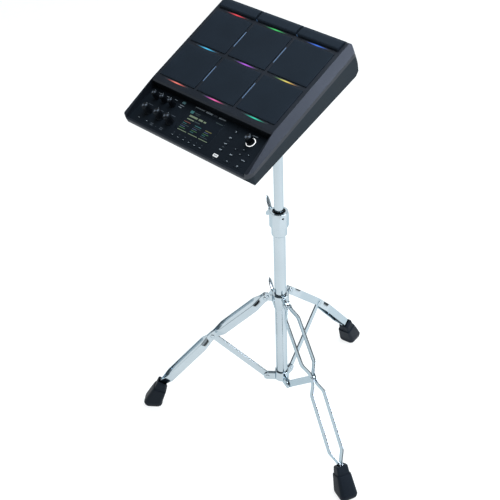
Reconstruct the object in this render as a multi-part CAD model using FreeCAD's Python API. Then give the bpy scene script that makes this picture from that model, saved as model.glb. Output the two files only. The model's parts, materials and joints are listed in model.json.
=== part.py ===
import FreeCAD, Part
import math
import os
from FreeCAD import Placement, Rotation, Vector

# Nine-zone electronic percussion practice pad on a folding, double-braced tripod stand.
# Millimetres, +Z up. The player stands on the -Y side, +X is the player's right.
# The stand is laid out round the column, whose axis is x = y = 0 with the floor at z = 0.
# The pad unit is laid out in its own frame (u right, v back, h up from its flat bottom)
# and is then tilted and carried to its place above the column.
# At the end everything is shifted so that the origin is the middle of the footprint.

# ---- pad unit: place and outer form ----
PAD_Y = -109.35          # place of the bottom face's centre, behind the column axis
PAD_Z = 937.56
TILT = 23.2              # degrees, bottom face against the floor
WEDGE = 4.15             # degrees, playing face against the bottom face
TOP_H = 61.9             # height of the playing face above the bottom at v = 0
TOP_HALF = 181.5         # half width of the flat playing face
RIDGE_HALF = 192.5       # half width at the ridge below the side bevel
RIDGE_DROP = 19.5        # ridge below the playing face
PARTING_DROP = 27.5      # joint line of the two case halves below the playing face
SKIRT_HALF = 187.5       # half width that the lower side tapers towards
SKIRT_DROP = 90.0
FRONT_V = -168.5
BACK_V = 183.5
FRONT_CORNER = 20.0      # corner radii in plan
BACK_CORNER = 14.0
CASE_WALL = 2.5

# ---- control panel recess ----
PANEL_DROP = 21.0        # panel face below the playing face
PANEL_T = 2.0
PANEL_HALF = 180.0
PANEL_FRONT = -164.0
PANEL_BACK = -72.5
RECESS_EDGE = -66.0      # front edge of the playing face
RECESS_WALL = -72.0
PANEL_LEDGE = 5.0        # rim that the panel rests on
SEAT_GAP = 0.3

# ---- pads ----
PITCH_U = 116.9
PITCH_V = 101.9
PAD_W = 108.5
PAD_L = 92.7
ROW_EDGE = -51.0         # front edge of the lower row
PAD_PROUD = 2.3
PAD_SINK = 6.0           # depth of the pads below the playing face
PAD_GAP = 0.4
EDGE_FRONT = 152.9       # front edge of the three edge pads
EDGE_W = 112.0
EDGE_RISE = 6.5
EDGE_LEDGE_DROP = 14.0
BASE_PLATE_T = 2.0
SENSOR_R = 13.5
SENSOR_T = 1.2

# ---- lights ----
LIGHT_L = 74.0
LIGHT_W = 4.0
LIGHT_T = 1.4
LIGHT_STEP = 4.4         # centre of a light bar in front of its pad's edge
LIGHT_SHIFT = 2.5        # and to the right of its pad's middle
DIVIDER_L = 43.0
DIVIDER_W = 1.8
TRIM_RISE = 0.3          # how far light guides stand proud

# ---- panel controls: centres (u, v) on the panel, sizes (width, length) ----
DISPLAY = (-1.0, -112.5, 105.0, 54.5)
DISPLAY_T = 1.5
MODULE_T = 6.0
SMALL_KNOBS = [(-150.0, -95.0), (-125.0, -95.0), (-99.0, -95.0)]
LARGE_KNOBS = [(-141.2, -132.0), (-103.2, -132.0), (-72.2, -132.0)]
SMALL_KNOB_R = 6.8
LARGE_KNOB_R = 9.0
SMALL_KNOB_H = 19.0
LARGE_KNOB_H = 22.0
DIAL = (135.1, -96.2)
DIAL_H = 18.0
DIAL_R = 8.8
RING_IN = 9.1
RING_OUT = 10.7
KNOB_LIFT = 0.3
SPINDLE_R = 3.0
RUN_FIT = 0.05
BUTTON_RISE = 0.8
BUTTON_DEPTH = 5.0
BUTTON_GAP = 0.25
BOARD_DROP = 28.0        # top of the panel board below the playing face
BOARD_T = 1.6
BUTTONS = {
    "function_buttons": [(-43.5 + 16.85 * k, -155.0, 9.0, 4.2) for k in range(6)]
                        + [(-152.3, -153.2, 10.0, 5.0), (-126.8, -153.2, 10.0, 5.0)],
    "quick_button": [(87.7, -89.5, 7.5, 7.5)],
    "menu_buttons": [(86.7, -106.2, 12.0, 5.2), (86.7, -122.4, 12.0, 5.2), (86.7, -138.2, 12.0, 5.2)],
    "lit_button": [(86.4, -154.2, 12.5, 6.4)],
    "arrow_buttons": [(116.3, -122.9, 9.0, 6.0), (134.2, -117.0, 9.0, 5.0),
                      (134.2, -129.0, 9.0, 5.0), (153.1, -122.9, 9.0, 6.0)],
    "exit_button": [(117.2, -138.4, 13.0, 6.0)],
    "enter_button": [(151.1, -138.6, 15.0, 6.0)],
    "minus_button": [(119.7, -154.2, 17.0, 8.4)],
    "plus_button": [(148.7, -154.4, 17.0, 8.4)],
}

# ---- inside and underside of the case ----
PILLARS = [(-180.0, -135.0), (-180.0, -20.0), (-180.0, 125.0), (180.0, -135.0), (180.0, -20.0), (180.0, 125.0)]
PILLAR_R = 4.0
PILLAR_TOP_DROP = 8.0
SCREW_R = 1.5
SCREW_HEAD_R = 3.2
FEET = [(-158.0, -135.0), (158.0, -135.0), (-158.0, 140.0), (158.0, 140.0)]
FOOT_R = 9.0
FOOT_T = 4.0
MAIN_BOARD = (-110.0, 110.0, -50.0, 125.0)
MAIN_BOARD_H = 22.0
STANDOFF_R = 3.5

# ---- rear connectors ----
BAY_HALF = 126.0         # pocket in the back wall
BAY_LOW = 15.0
BAY_HIGH = 38.0
BAY_V = 171.0
JACKS_U = [-112.0, -90.0, -68.0, -46.0, -24.0, -2.0, 20.0, 42.0]
JACK_H = 26.5
JACK_BORE_R = 3.25       # takes a 6.35 mm plug
JACK_NECK_R = 5.0
JACK_NUT_R = 6.5
JACK_NUT_T = 2.5
JACK_BODY = 9.0
JACK_DEPTH = 26.0
INLET_U = 104.0
INLET_BORE_R = 2.75      # takes a 5.5 mm barrel plug
INLET_DEPTH = 10.0
USB_U = [66.0, 82.0]
REAR_PANEL_T = 1.5       # the plate lies behind the pocket's wall, over a window in it
BAY_LIP = 3.0

# ---- mounting plate and tilter ----
PLATE_W = 190.0
PLATE_L = 120.0
PLATE_T = 3.0
PLATE_BOLTS = [(-75.0, -45.0), (75.0, -45.0), (-75.0, 45.0), (75.0, 45.0)]
BOLT_R = 2.5
BOLT_HEAD_R = 5.0
PIVOT_V = 55.6           # tilt axis in the pad frame
PIVOT_H = -38.6
LUG_R = 13.0
LUG_HALF = 14.0
CHEEK_T = 4.0
CHEEK_GAP = 0.3
TILT_BOLT_R = 4.0

# ---- pole, column and collar ----
POLE_R = 11.1
POLE_WALL = 1.6
POLE_LOW = 333.0
POLE_TOP = 905.0
SOCKET_R = 17.0
SOCKET_LOW = 863.0
SOCKET_CAP = 5.0
SOCKET_BOLT_Z = 881.0
TUBE_R = 14.3
TUBE_WALL = 2.0
TUBE_LOW = 107.0
TUBE_TOP = 568.0
COLLAR_LOW = 548.0
COLLAR_STEP = 574.0
COLLAR_TOP = 614.0
COLLAR_SLEEVE_R = 18.5
COLLAR_FLATS = 43.0
BUSH_R = 15.6
COLLAR_BOLT_Z = 593.0
SET_SCREW_Z = 603.0

# ---- tripod: one leg every 120 degrees ----
LEGS = {"left": 220.43, "front": 340.43, "rear": 100.43}
BOLT_AZIMUTH = 160.43
PIVOT_R = 37.0           # radius of both hub pivots
HUB_Z = 363.0            # upper hub pivots
BRACE_Z = 110.0          # lower hub pivots
OPEN_ANGLE = 47.18       # upper half of a leg against the vertical
END_ANGLE = 40.4         # lower half of a leg against the vertical
LINK = (HUB_Z - BRACE_Z) / 2 / math.cos(math.radians(OPEN_ANGLE))
LOWER_L = 224.0
STRIP_T = 3.0
STRIP_W = 19.0
STRIP_SPREAD = 16.5      # strip's middle off the leg's plane, along the parallel run
EAR_HALF = 3.5           # half thickness of the upper hub's ears
EAR_R = 9.5
PIN_R = 3.0
PIN_HEAD_R = 5.5
PIN_HEAD_T = 2.0
BRACE_T = 4.0
BRACE_W = 17.0
HUB_R = 20.5
HUB_LOW = 334.0
HUB_TOP = 375.0
HUB_SLIDE = 0.1
CUP_R = 18.0
CUP_LOW = 102.0
CUP_TOP = 131.0
CLEVIS_T = 3.2
SIDE_FIT = 0.25
SOLE_R = 341.0           # foot centre from the column axis

X_AXIS = Vector(1, 0, 0)
Y_AXIS = Vector(0, 1, 0)
Z_AXIS = Vector(0, 0, 1)


# ---- small shape helpers ----
def block(x0, x1, y0, y1, z0, z1):
    return Part.makeBox(x1 - x0, y1 - y0, z1 - z0, Vector(x0, y0, z0))


def rod(radius, start, end):
    """Solid cylinder between two points."""
    return Part.makeCylinder(radius, (end - start).Length, start, end - start)


def pipe(outer, inner, start, end):
    """Round tube between two points."""
    return rod(outer, start, end).cut(rod(inner, start, end))


def cone(r0, r1, start, end):
    return Part.makeCone(r0, r1, (end - start).Length, start, end - start)


def join(shapes):
    body = shapes[0].fuse(shapes[1:]) if len(shapes) > 1 else shapes[0]
    return body.removeSplitter()


def prism(points, direction):
    """Polygon through the points, drawn out along a direction."""
    return Part.Face(Part.makePolygon(points + [points[0]])).extrude(direction)


def flat_bar(start, end, radius, normal, thickness):
    """Flat bar with round ends, lying across its normal and centred on both points."""
    along = (end - start).normalize()
    side = normal.cross(along) * radius
    lift = normal * (thickness / 2)
    web = prism([start + side - lift, end + side - lift, end - side - lift, start - side - lift], lift * 2)
    return join([web, rod(radius, start - lift, start + lift), rod(radius, end - lift, end + lift)])


def rounded_block(cu, cv, width, length, z0, z1, radius):
    """Upright block with rounded corners, centred on (cu, cv)."""
    solid = block(cu - width / 2, cu + width / 2, cv - length / 2, cv + length / 2, z0, z1)
    upright = [e for e in solid.Edges if abs(e.tangentAt(e.FirstParameter).z) > 0.9]
    return solid.makeFillet(radius, upright)


def wing_bolt(tip, seat, direction, wing_axis, shank_r):
    """Wing bolt: shank from tip to seat, hub beyond the seat and two lobed wings."""
    out = direction.normalize()
    hub = cone(8.0, 6.0, seat, seat + out * 16)
    shapes = [rod(shank_r, tip, seat + out), hub]
    for sign in (-1, 1):
        root = seat + out * 18 + wing_axis * (sign * 3)
        lobe = seat + out * 30 + wing_axis * (sign * 20)
        shapes.append(flat_bar(root, lobe, 7.5, out.cross(wing_axis), 4.5))
    return join(shapes)


# ---- frames ----
def on_top(shape):
    """Carry a shape drawn against the playing face into the pad frame."""
    moved = shape.copy()
    moved.Placement = Placement(Vector(0, 0, TOP_H), Rotation(X_AXIS, WEDGE)).multiply(moved.Placement)
    return moved


def pad_to_stand():
    return Placement(Vector(0, PAD_Y, PAD_Z), Rotation(X_AXIS, TILT))


def place_pad(shape):
    """Carry a shape from the pad frame to its place above the column."""
    moved = shape.copy()
    moved.Placement = pad_to_stand().multiply(moved.Placement)
    return moved


def radial(azimuth):
    return Vector(math.cos(math.radians(azimuth)), math.sin(math.radians(azimuth)), 0)


def leg_point(azimuth, r, z, side=0.0):
    """Point in a leg's upright plane, or beside it by side."""
    across = Z_AXIS.cross(radial(azimuth))
    return radial(azimuth) * r + across * side + Vector(0, 0, z)


def mid_pivot():
    """Radius and height of the pivot that joins a leg to its brace."""
    opened = math.radians(OPEN_ANGLE)
    return PIVOT_R + LINK * math.sin(opened), HUB_Z - LINK * math.cos(opened)


def strip_end():
    """Radius and height of a leg strip's lower end."""
    r, z = mid_pivot()
    return r + LOWER_L * math.sin(math.radians(END_ANGLE)), z - LOWER_L * math.cos(math.radians(END_ANGLE))


# ---- case ----
def side_outline():
    """Case seen from its right side: sloped cheeks, wedge top, and a back that rounds over and tapers."""
    def at(v, h):
        return Vector(0, v, h)
    nose = Part.Arc(at(-166.5, 18.0), at(FRONT_V, 24.0), at(-166.0, 29.5)).toShape()
    back = Part.Arc(at(176.5, 74.6), at(181.4, 72.4), at(BACK_V, 67.0)).toShape()
    lines = [(at(-166.0, 29.5), at(-163.0, 35.4)), (at(-163.0, 35.4), at(RECESS_EDGE, 57.1)),
             (at(RECESS_EDGE, 57.1), at(176.5, 74.6)), (at(BACK_V, 67.0), at(173.0, 7.0)),
             (at(173.0, 7.0), at(163.0, 0.0)),
             (at(163.0, 0.0), at(-158.0, 0.0)), (at(-158.0, 0.0), at(-166.5, 18.0))]
    edges = [Part.makeLine(a, b) for a, b in lines]
    return Part.Wire(Part.__sortEdges__([nose, back] + edges))


def section_outline():
    """Case seen from the front, against the playing face: bevels, ridges and tapering skirt."""
    right = [(TOP_HALF, 0.0), (RIDGE_HALF, -RIDGE_DROP), (RIDGE_HALF - 0.2, -PARTING_DROP),
             (SKIRT_HALF, -SKIRT_DROP)]
    left = [(-u, h) for u, h in reversed(right)]
    points = [Vector(u, 0, h) for u, h in right + left]
    return Part.makePolygon(points + [points[0]])


def plan_outline():
    """Case seen from above: a rectangle with rounded corners."""
    solid = block(-RIDGE_HALF, RIDGE_HALF, FRONT_V, BACK_V, 0, 1)
    upright = [e for e in solid.Edges if abs(e.tangentAt(e.FirstParameter).z) > 0.9]
    front = [e for e in upright if e.CenterOfMass.y < 0]
    back = [e for e in upright if e.CenterOfMass.y > 0]
    solid = solid.makeFillet(FRONT_CORNER, front)
    back = [e for e in solid.Edges if e.CenterOfMass.y > BACK_V - 1
            and abs(e.CenterOfMass.x) > RIDGE_HALF - 1 and abs(e.tangentAt(e.FirstParameter).z) > 0.9]
    solid = solid.makeFillet(BACK_CORNER, back)
    bottom = min(solid.Faces, key=lambda f: f.CenterOfMass.z)
    return bottom.OuterWire


def inset_face(wire, inset):
    if inset:
        wire = wire.makeOffset2D(-inset, 2)
    return Part.Face(wire)


def case_form(inset):
    """Closed form of the whole case, pulled in by inset on every side."""
    side = inset_face(side_outline(), inset).extrude(Vector(400, 0, 0))
    side.translate(Vector(-200, 0, 0))
    section = inset_face(section_outline(), inset).extrude(Vector(0, 400, 0))
    section.translate(Vector(0, -200, 0))
    plan = inset_face(plan_outline(), inset).extrude(Vector(0, 0, 120))
    plan.translate(Vector(0, 0, -20))
    return side.common(on_top(section)).common(plan)


def recess_form(grow):
    """Space above the control panel, cut out of the playing face."""
    back = grow
    points = [(RECESS_EDGE + back, 0.5), (RECESS_WALL + 1 + back, -3.0), (RECESS_WALL + back, -PANEL_DROP - grow),
              (-200.0, -PANEL_DROP - grow), (-200.0, 20.0), (RECESS_EDGE + back, 20.0)]
    if grow:
        points = points[2:]
        points[-1] = (RECESS_WALL + back, 20.0)
    half = PANEL_HALF + 0.4 + grow
    return on_top(prism([Vector(-half, v, h) for v, h in points], Vector(2 * half, 0, 0)))


def ledge_form(grow):
    """Space along the back edge that the edge pads fill."""
    half = PITCH_U + EDGE_W / 2 + 1.0 + grow
    return on_top(block(-half, half, EDGE_FRONT - 0.4 - grow, 200, -EDGE_LEDGE_DROP - grow, 20))


def bay_form(grow):
    """Pocket in the back wall for the connectors."""
    return block(-BAY_HALF - grow, BAY_HALF + grow, BAY_V - grow, 200, BAY_LOW - grow, BAY_HIGH + grow)


def above_parting():
    return on_top(block(-200, 200, -200, 210, -PARTING_DROP, 30))


def hollow_case():
    outer = case_form(0).cut(recess_form(0)).cut(ledge_form(0)).cut(bay_form(0))
    inner = case_form(CASE_WALL).cut(recess_form(CASE_WALL)).cut(ledge_form(CASE_WALL)).cut(bay_form(CASE_WALL))
    return outer.cut(inner)


def pad_centres():
    rows = [ROW_EDGE + PAD_L / 2 + k * PITCH_V for k in (0, 1)]
    return [(i * PITCH_U, v) for v in rows for i in (-1, 0, 1)]


def light_centres():
    edges = [ROW_EDGE, ROW_EDGE + PITCH_V, EDGE_FRONT]
    return [(i * PITCH_U + LIGHT_SHIFT, v - LIGHT_STEP) for v in edges for i in (-1, 0, 1)]


def divider_centres():
    return [(s * PITCH_U / 2, v) for v in (ROW_EDGE + PAD_L / 2, ROW_EDGE + PITCH_V + PAD_L / 2) for s in (-1, 1)]


def light_bars(width_gap=0.0):
    """Light guides in front of the pads, each in its slot of the playing face."""
    return [rounded_block(u, v, LIGHT_L + width_gap, LIGHT_W + width_gap, -LIGHT_T, TRIM_RISE, 1.8)
            for u, v in light_centres()]


def divider_bars():
    return [block(u - DIVIDER_W / 2, u + DIVIDER_W / 2, v - DIVIDER_L / 2, v + DIVIDER_L / 2, -LIGHT_T, TRIM_RISE)
            for u, v in divider_centres()]


def top_case():
    """Upper half: bevelled rim, grid between the pads, cheeks and panel ledge."""
    shell = hollow_case().common(above_parting())
    holes = [block(u - PAD_W / 2 - PAD_GAP, u + PAD_W / 2 + PAD_GAP, v - PAD_L / 2 - PAD_GAP,
                   v + PAD_L / 2 + PAD_GAP, -PAD_SINK, 10) for u, v in pad_centres()]
    holes += light_bars() + divider_bars()
    opening = block(-PANEL_HALF + PANEL_LEDGE, PANEL_HALF - PANEL_LEDGE, PANEL_FRONT + PANEL_LEDGE,
                    PANEL_BACK - PANEL_LEDGE, -40, 0)
    seat = block(-PANEL_HALF - SEAT_GAP, PANEL_HALF + SEAT_GAP, PANEL_FRONT - SEAT_GAP, PANEL_BACK + SEAT_GAP,
                 -PANEL_DROP - PANEL_T, -PANEL_DROP + SEAT_GAP)
    shell = shell.cut([on_top(h) for h in holes + [opening, seat]])
    posts = [pillar(u, v) for u, v in PILLARS]
    return join([shell] + posts).cut([screw_space(u, v) for u, v in PILLARS])


def pillar(u, v):
    """Screw post that hangs from the top case down to the floor of the bottom case."""
    top_drop = PANEL_DROP + PANEL_T if v < RECESS_EDGE else PILLAR_TOP_DROP
    post = rod(PILLAR_R, Vector(u, v, CASE_WALL), Vector(u, v, 90))
    return post.common(on_top(block(-200, 200, -200, 200, -90, -top_drop))).common(case_form(0.5))


def screw_space(u, v):
    return rod(SCREW_R, Vector(u, v, 0), Vector(u, v, 16))


def case_screws():
    screws = []
    for u, v in PILLARS:
        head = rod(SCREW_HEAD_R, Vector(u, v, 0.2), Vector(u, v, 1.8))
        screws.append(join([head, rod(SCREW_R, Vector(u, v, 1.0), Vector(u, v, 15))]))
    return screws


def bottom_case():
    """Lower half: tapering tray with bolt bosses, board standoffs and the connector bay."""
    shell = hollow_case().cut(above_parting())
    bosses = [rod(6.0, Vector(u, v, 1), Vector(u, v, 15)) for u, v in plate_bolt_centres()]
    u0, u1, v0, v1 = MAIN_BOARD
    standoffs = [rod(STANDOFF_R, Vector(u, v, 1), Vector(u, v, MAIN_BOARD_H))
                 for u in (u0 + 8, u1 - 8) for v in (v0 + 8, v1 - 8)]
    shell = join([shell] + bosses + standoffs)
    cuts = [rod(BOLT_R, Vector(u, v, -1), Vector(u, v, 14)) for u, v in plate_bolt_centres()]
    for u, v in PILLARS:
        cuts.append(rod(SCREW_HEAD_R + 0.2, Vector(u, v, -1), Vector(u, v, 1.8)))
        cuts.append(rod(SCREW_R + 0.2, Vector(u, v, -1), Vector(u, v, 4)))
    cuts.append(block(-BAY_HALF + BAY_LIP, BAY_HALF - BAY_LIP, BAY_V - CASE_WALL - 1, BAY_V + 1,
                      BAY_LOW + BAY_LIP, BAY_HIGH - BAY_LIP))
    return shell.cut(cuts)


def case_feet():
    return [rod(FOOT_R, Vector(u, v, -FOOT_T), Vector(u, v, 0)) for u, v in FEET]


# ---- pads and what lies under them ----
def main_pads():
    pads = []
    for u, v in pad_centres():
        slab = rounded_block(u, v, PAD_W, PAD_L, -PAD_SINK, PAD_PROUD, 2.0)
        rim = [e for e in slab.Edges if e.CenterOfMass.z > PAD_PROUD - 0.01]
        pads.append(on_top(slab.makeChamfer(0.8, rim)))
    return pads


def edge_pads():
    """Three raised pads that roll over the back edge."""
    def at(v, h):
        return Vector(0, v, h)
    front, low = EDGE_FRONT, -EDGE_LEDGE_DROP
    edges = [Part.makeLine(at(front, low), at(front, 3.0)),
             Part.Arc(at(front, 3.0), at(front + 1.4, 5.4), at(front + 5.0, EDGE_RISE)).toShape(),
             Part.makeLine(at(front + 5.0, EDGE_RISE), at(170.0, EDGE_RISE)),
             Part.Arc(at(170.0, EDGE_RISE), at(179.0, 2.0), at(182.2, low)).toShape(),
             Part.makeLine(at(182.2, low), at(front, low))]
    face = Part.Face(Part.Wire(edges))
    pads = []
    for i in (-1, 0, 1):
        pad = face.extrude(Vector(EDGE_W, 0, 0))
        pad.translate(Vector(i * PITCH_U - EDGE_W / 2, 0, 0))
        pads.append(on_top(pad))
    return pads


def sensor_base_plate():
    """Stiff plate under the playing face that carries the pads."""
    plate = block(-171.5, 171.5, -64, 147.5, -PAD_SINK - BASE_PLATE_T, -PAD_SINK)
    return on_top(plate)


def pad_sensors():
    under = -PAD_SINK - BASE_PLATE_T
    return [on_top(rod(SENSOR_R, Vector(u, v, under - SENSOR_T), Vector(u, v, under))) for u, v in pad_centres()]


def pad_light_guides():
    return [on_top(bar) for bar in light_bars()]


def divider_light_guides():
    return [on_top(bar) for bar in divider_bars()]


# ---- control panel ----
def control_panel():
    low, high = -PANEL_DROP - PANEL_T, -PANEL_DROP
    panel = block(-PANEL_HALF, PANEL_HALF, PANEL_FRONT, PANEL_BACK, low, high)
    panel = panel.common(front_corner_trim())
    u, v, width, length = DISPLAY
    cuts = [block(u - width / 2, u + width / 2, v - length / 2, v + length / 2, -PANEL_DROP - DISPLAY_T, 0),
            block(u - width / 2 + 3, u + width / 2 - 3, v - length / 2 + 3, v + length / 2 - 3, -40, 0)]
    for group in BUTTONS.values():
        for bu, bv, bw, bl in group:
            cuts.append(rounded_block(bu, bv, bw + 2 * BUTTON_GAP, bl + 2 * BUTTON_GAP, -40, 0, 1.2 + BUTTON_GAP))
    for ku, kv in SMALL_KNOBS + LARGE_KNOBS + [DIAL]:
        cuts.append(rod(SPINDLE_R + RUN_FIT, Vector(ku, kv, -40), Vector(ku, kv, 0)))
    cuts.append(ring_form())
    return on_top(panel.cut(cuts))


def front_corner_trim():
    """Round front corners of the panel, inside the case's corner radius."""
    trim = block(-PANEL_HALF, PANEL_HALF, PANEL_FRONT, 0, -40, 0)
    upright = [e for e in trim.Edges if abs(e.tangentAt(e.FirstParameter).z) > 0.9 and e.CenterOfMass.y < -100]
    return trim.makeFillet(8.0, upright)


def ring_form():
    low = Vector(DIAL[0], DIAL[1], -PANEL_DROP - 0.8)
    return pipe(RING_OUT, RING_IN, low, low + Vector(0, 0, 1.6))


def dial_light_ring():
    low = Vector(DIAL[0], DIAL[1], -PANEL_DROP - 0.8)
    return on_top(pipe(RING_OUT, RING_IN, low, low + Vector(0, 0, 1.4)))


def knob(centre, radius, height):
    """Knob with its spindle, a pointer groove and a slightly narrower top."""
    u, v = centre
    base = -PANEL_DROP + KNOB_LIFT
    body = cone(radius, radius * 0.88, Vector(u, v, base), Vector(u, v, base + height))
    spindle = rod(SPINDLE_R, Vector(u, v, -BOARD_DROP + 0.2), Vector(u, v, base + 1))
    groove = block(u - 0.5, u + 0.5, v + radius * 0.35, v + radius * 1.2, base + height - 0.8, base + height + 1)
    return on_top(join([body, spindle]).cut(groove))


def button(u, v, width, length):
    low = -PANEL_DROP - BUTTON_DEPTH
    return on_top(rounded_block(u, v, width, length, low, -PANEL_DROP + BUTTON_RISE, 1.2))


def display_window():
    u, v, width, length = DISPLAY
    gap = 0.1
    return on_top(block(u - width / 2 + gap, u + width / 2 - gap, v - length / 2 + gap, v + length / 2 - gap,
                        -PANEL_DROP - DISPLAY_T, -PANEL_DROP))


def display_module():
    u, v, width, length = DISPLAY
    top = -PANEL_DROP - PANEL_T
    return on_top(block(u - width / 2 + 1, u + width / 2 - 1, v - length / 2 + 1, v + length / 2 - 1,
                        top - MODULE_T, top))


def panel_circuit_board():
    """Board under the buttons and knobs, with a window for the display module."""
    u, v, width, length = DISPLAY
    board = block(-168, 168, -160, -78, -BOARD_DROP - BOARD_T, -BOARD_DROP)
    window = block(u - width / 2, u + width / 2, v - length / 2, v + length / 2, -50, 0)
    return on_top(board.cut(window))


def main_circuit_board():
    u0, u1, v0, v1 = MAIN_BOARD
    board = block(u0, u1, v0, v1, MAIN_BOARD_H, MAIN_BOARD_H + BOARD_T)
    chips = [block(u, u + 22, v, v + 22, MAIN_BOARD_H + BOARD_T, MAIN_BOARD_H + BOARD_T + 2.5)
             for u, v in ((-60.0, 0.0), (10.0, -10.0), (-20.0, 60.0))]
    return join([board] + chips)


def connector_face():
    """Where the connectors' bodies meet the rear panel's inner face."""
    return BAY_V - CASE_WALL - REAR_PANEL_T


def rear_panel():
    """Plate that carries the connectors, fastened from inside over the pocket's window."""
    inner, outer = connector_face(), BAY_V - CASE_WALL
    plate = block(-BAY_HALF, BAY_HALF, inner, outer, BAY_LOW, BAY_HIGH)
    cuts = [rod(JACK_NECK_R, Vector(u, inner - 1, JACK_H), Vector(u, outer + 1, JACK_H)) for u in JACKS_U + [INLET_U]]
    cuts += [block(u - 4.7, u + 4.7, inner - 1, outer + 1, JACK_H - 2.5, JACK_H + 2.5) for u in USB_U]
    return plate.cut(cuts)


def rear_connectors():
    """Eight quarter-inch sockets, the power inlet and two data sockets."""
    inner, outer = connector_face(), BAY_V - CASE_WALL
    parts = []
    for u in JACKS_U:
        body = block(u - JACK_BODY, u + JACK_BODY, inner - JACK_DEPTH, inner, JACK_H - 8, JACK_H + 8)
        neck = rod(JACK_NECK_R, Vector(u, inner, JACK_H), Vector(u, outer, JACK_H))
        nut = rod(JACK_NUT_R, Vector(u, outer, JACK_H), Vector(u, outer + JACK_NUT_T, JACK_H))
        bore = rod(JACK_BORE_R, Vector(u, inner - JACK_DEPTH + 2, JACK_H), Vector(u, BAY_V + 5, JACK_H))
        parts.append(join([body, neck, nut]).cut(bore))
    inlet = block(INLET_U - 7, INLET_U + 7, inner - 14, inner, JACK_H - 7, JACK_H + 7)
    inlet = join([inlet, rod(JACK_NECK_R, Vector(INLET_U, inner, JACK_H), Vector(INLET_U, outer, JACK_H))])
    inlet = inlet.cut(rod(INLET_BORE_R, Vector(INLET_U, inner - INLET_DEPTH, JACK_H), Vector(INLET_U, 180, JACK_H)))
    parts.append(inlet)
    for u in USB_U:
        shell = block(u - 4.5, u + 4.5, inner - 12, outer, JACK_H - 2.3, JACK_H + 2.3)
        parts.append(shell.cut(block(u - 3.8, u + 3.8, inner - 10, 180, JACK_H - 1.6, JACK_H + 1.6)))
    return parts


# ---- mounting plate and tilter ----
def plate_bolt_centres():
    return [(u, PIVOT_V + v) for u, v in PLATE_BOLTS]


def mounting_plate():
    plate = rounded_block(0, PIVOT_V, PLATE_W, PLATE_L, -PLATE_T, 0, 12.0)
    cuts = [rod(BOLT_R, Vector(u, v, -9), Vector(u, v, 1)) for u, v in plate_bolt_centres()]
    slots = [rounded_block(s * 50, PIVOT_V, 30, 60, -9, 1, 8.0) for s in (-1, 1)]
    return plate.cut(cuts + slots)


def mounting_bolts():
    bolts = []
    for u, v in plate_bolt_centres():
        head = rod(BOLT_HEAD_R, Vector(u, v, -PLATE_T - 3.5), Vector(u, v, -PLATE_T))
        shank = rod(BOLT_R, Vector(u, v, -PLATE_T), Vector(u, v, 13))
        bolts.append(join([head, shank]).cut(rod(2.0, Vector(u, v, -10), Vector(u, v, -PLATE_T - 1.5))))
    return bolts


def tilter_bracket():
    """Clevis under the mounting plate: a base and two cheeks round the tilt axis."""
    base_low = -PLATE_T - 4.0
    shapes = [block(-28, 28, PIVOT_V - 24, PIVOT_V + 24, base_low, -PLATE_T)]
    inner = LUG_HALF + CHEEK_GAP
    for x0 in (inner, -inner - CHEEK_T):
        web = prism([Vector(x0, PIVOT_V - 22, base_low + 1), Vector(x0, PIVOT_V + 22, base_low + 1),
                     Vector(x0, PIVOT_V + 12, PIVOT_H), Vector(x0, PIVOT_V - 12, PIVOT_H)], Vector(CHEEK_T, 0, 0))
        boss = rod(12.0, Vector(x0, PIVOT_V, PIVOT_H), Vector(x0 + CHEEK_T, PIVOT_V, PIVOT_H))
        shapes += [web, boss]
    hole = rod(TILT_BOLT_R, Vector(-40, PIVOT_V, PIVOT_H), Vector(40, PIVOT_V, PIVOT_H))
    return join(shapes).cut(hole)


def tilter_pivot_bolt():
    outer = LUG_HALF + CHEEK_GAP + CHEEK_T
    shank = rod(TILT_BOLT_R, Vector(-outer - 14, PIVOT_V, PIVOT_H), Vector(outer, PIVOT_V, PIVOT_H))
    head = rod(7.0, Vector(outer, PIVOT_V, PIVOT_H), Vector(outer + 5, PIVOT_V, PIVOT_H))
    return join([shank, head])


def tilter_wing_nut():
    """Wing nut on the left end of the tilt bolt."""
    seat = Vector(-(LUG_HALF + CHEEK_GAP + CHEEK_T) - 0.2, PIVOT_V, PIVOT_H)
    nut = wing_bolt(seat, seat, Vector(-1, 0, 0), Y_AXIS, TILT_BOLT_R + 1)
    return nut.cut(rod(TILT_BOLT_R + RUN_FIT, seat + Vector(5, 0, 0), seat + Vector(-14.5, 0, 0)))


def tilt_axis_point():
    return pad_to_stand().multVec(Vector(0, PIVOT_V, PIVOT_H))


def tilter_base():
    """Socket that turns on the pole's end, with an arm to the tilt axis."""
    axis = tilt_axis_point()
    socket = rod(SOCKET_R, Vector(0, 0, SOCKET_LOW), Vector(0, 0, POLE_TOP + SOCKET_CAP))
    lug = rod(LUG_R, axis - X_AXIS * LUG_HALF, axis + X_AXIS * LUG_HALF)
    arm = block(-10, 10, axis.y, 0, POLE_TOP - 14, POLE_TOP + SOCKET_CAP)
    brace = prism([Vector(-10, axis.y, axis.z + 9), Vector(-10, -4, POLE_TOP + SOCKET_CAP),
                   Vector(-10, -4, POLE_TOP - 30), Vector(-10, axis.y, POLE_TOP - 2)], Vector(20, 0, 0))
    boss = rod(9.0, Vector(0, 0, SOCKET_BOLT_Z), Vector(0, 25, SOCKET_BOLT_Z))
    body = join([socket, lug, arm, brace, boss])
    body = body.cut(rod(POLE_R + RUN_FIT, Vector(0, 0, SOCKET_LOW - 1), Vector(0, 0, POLE_TOP + 0.3)))
    body = body.cut(rod(4.05, Vector(0, 0, SOCKET_BOLT_Z), Vector(0, 30, SOCKET_BOLT_Z)))
    return body.cut(rod(TILT_BOLT_R + RUN_FIT, axis - X_AXIS * 30, axis + X_AXIS * 30))


def socket_wing_bolt():
    tip = Vector(0, POLE_R + 0.3, SOCKET_BOLT_Z)
    return wing_bolt(tip, Vector(0, 25.3, SOCKET_BOLT_Z), Vector(0, 1, 0), Z_AXIS, 4.0)


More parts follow.
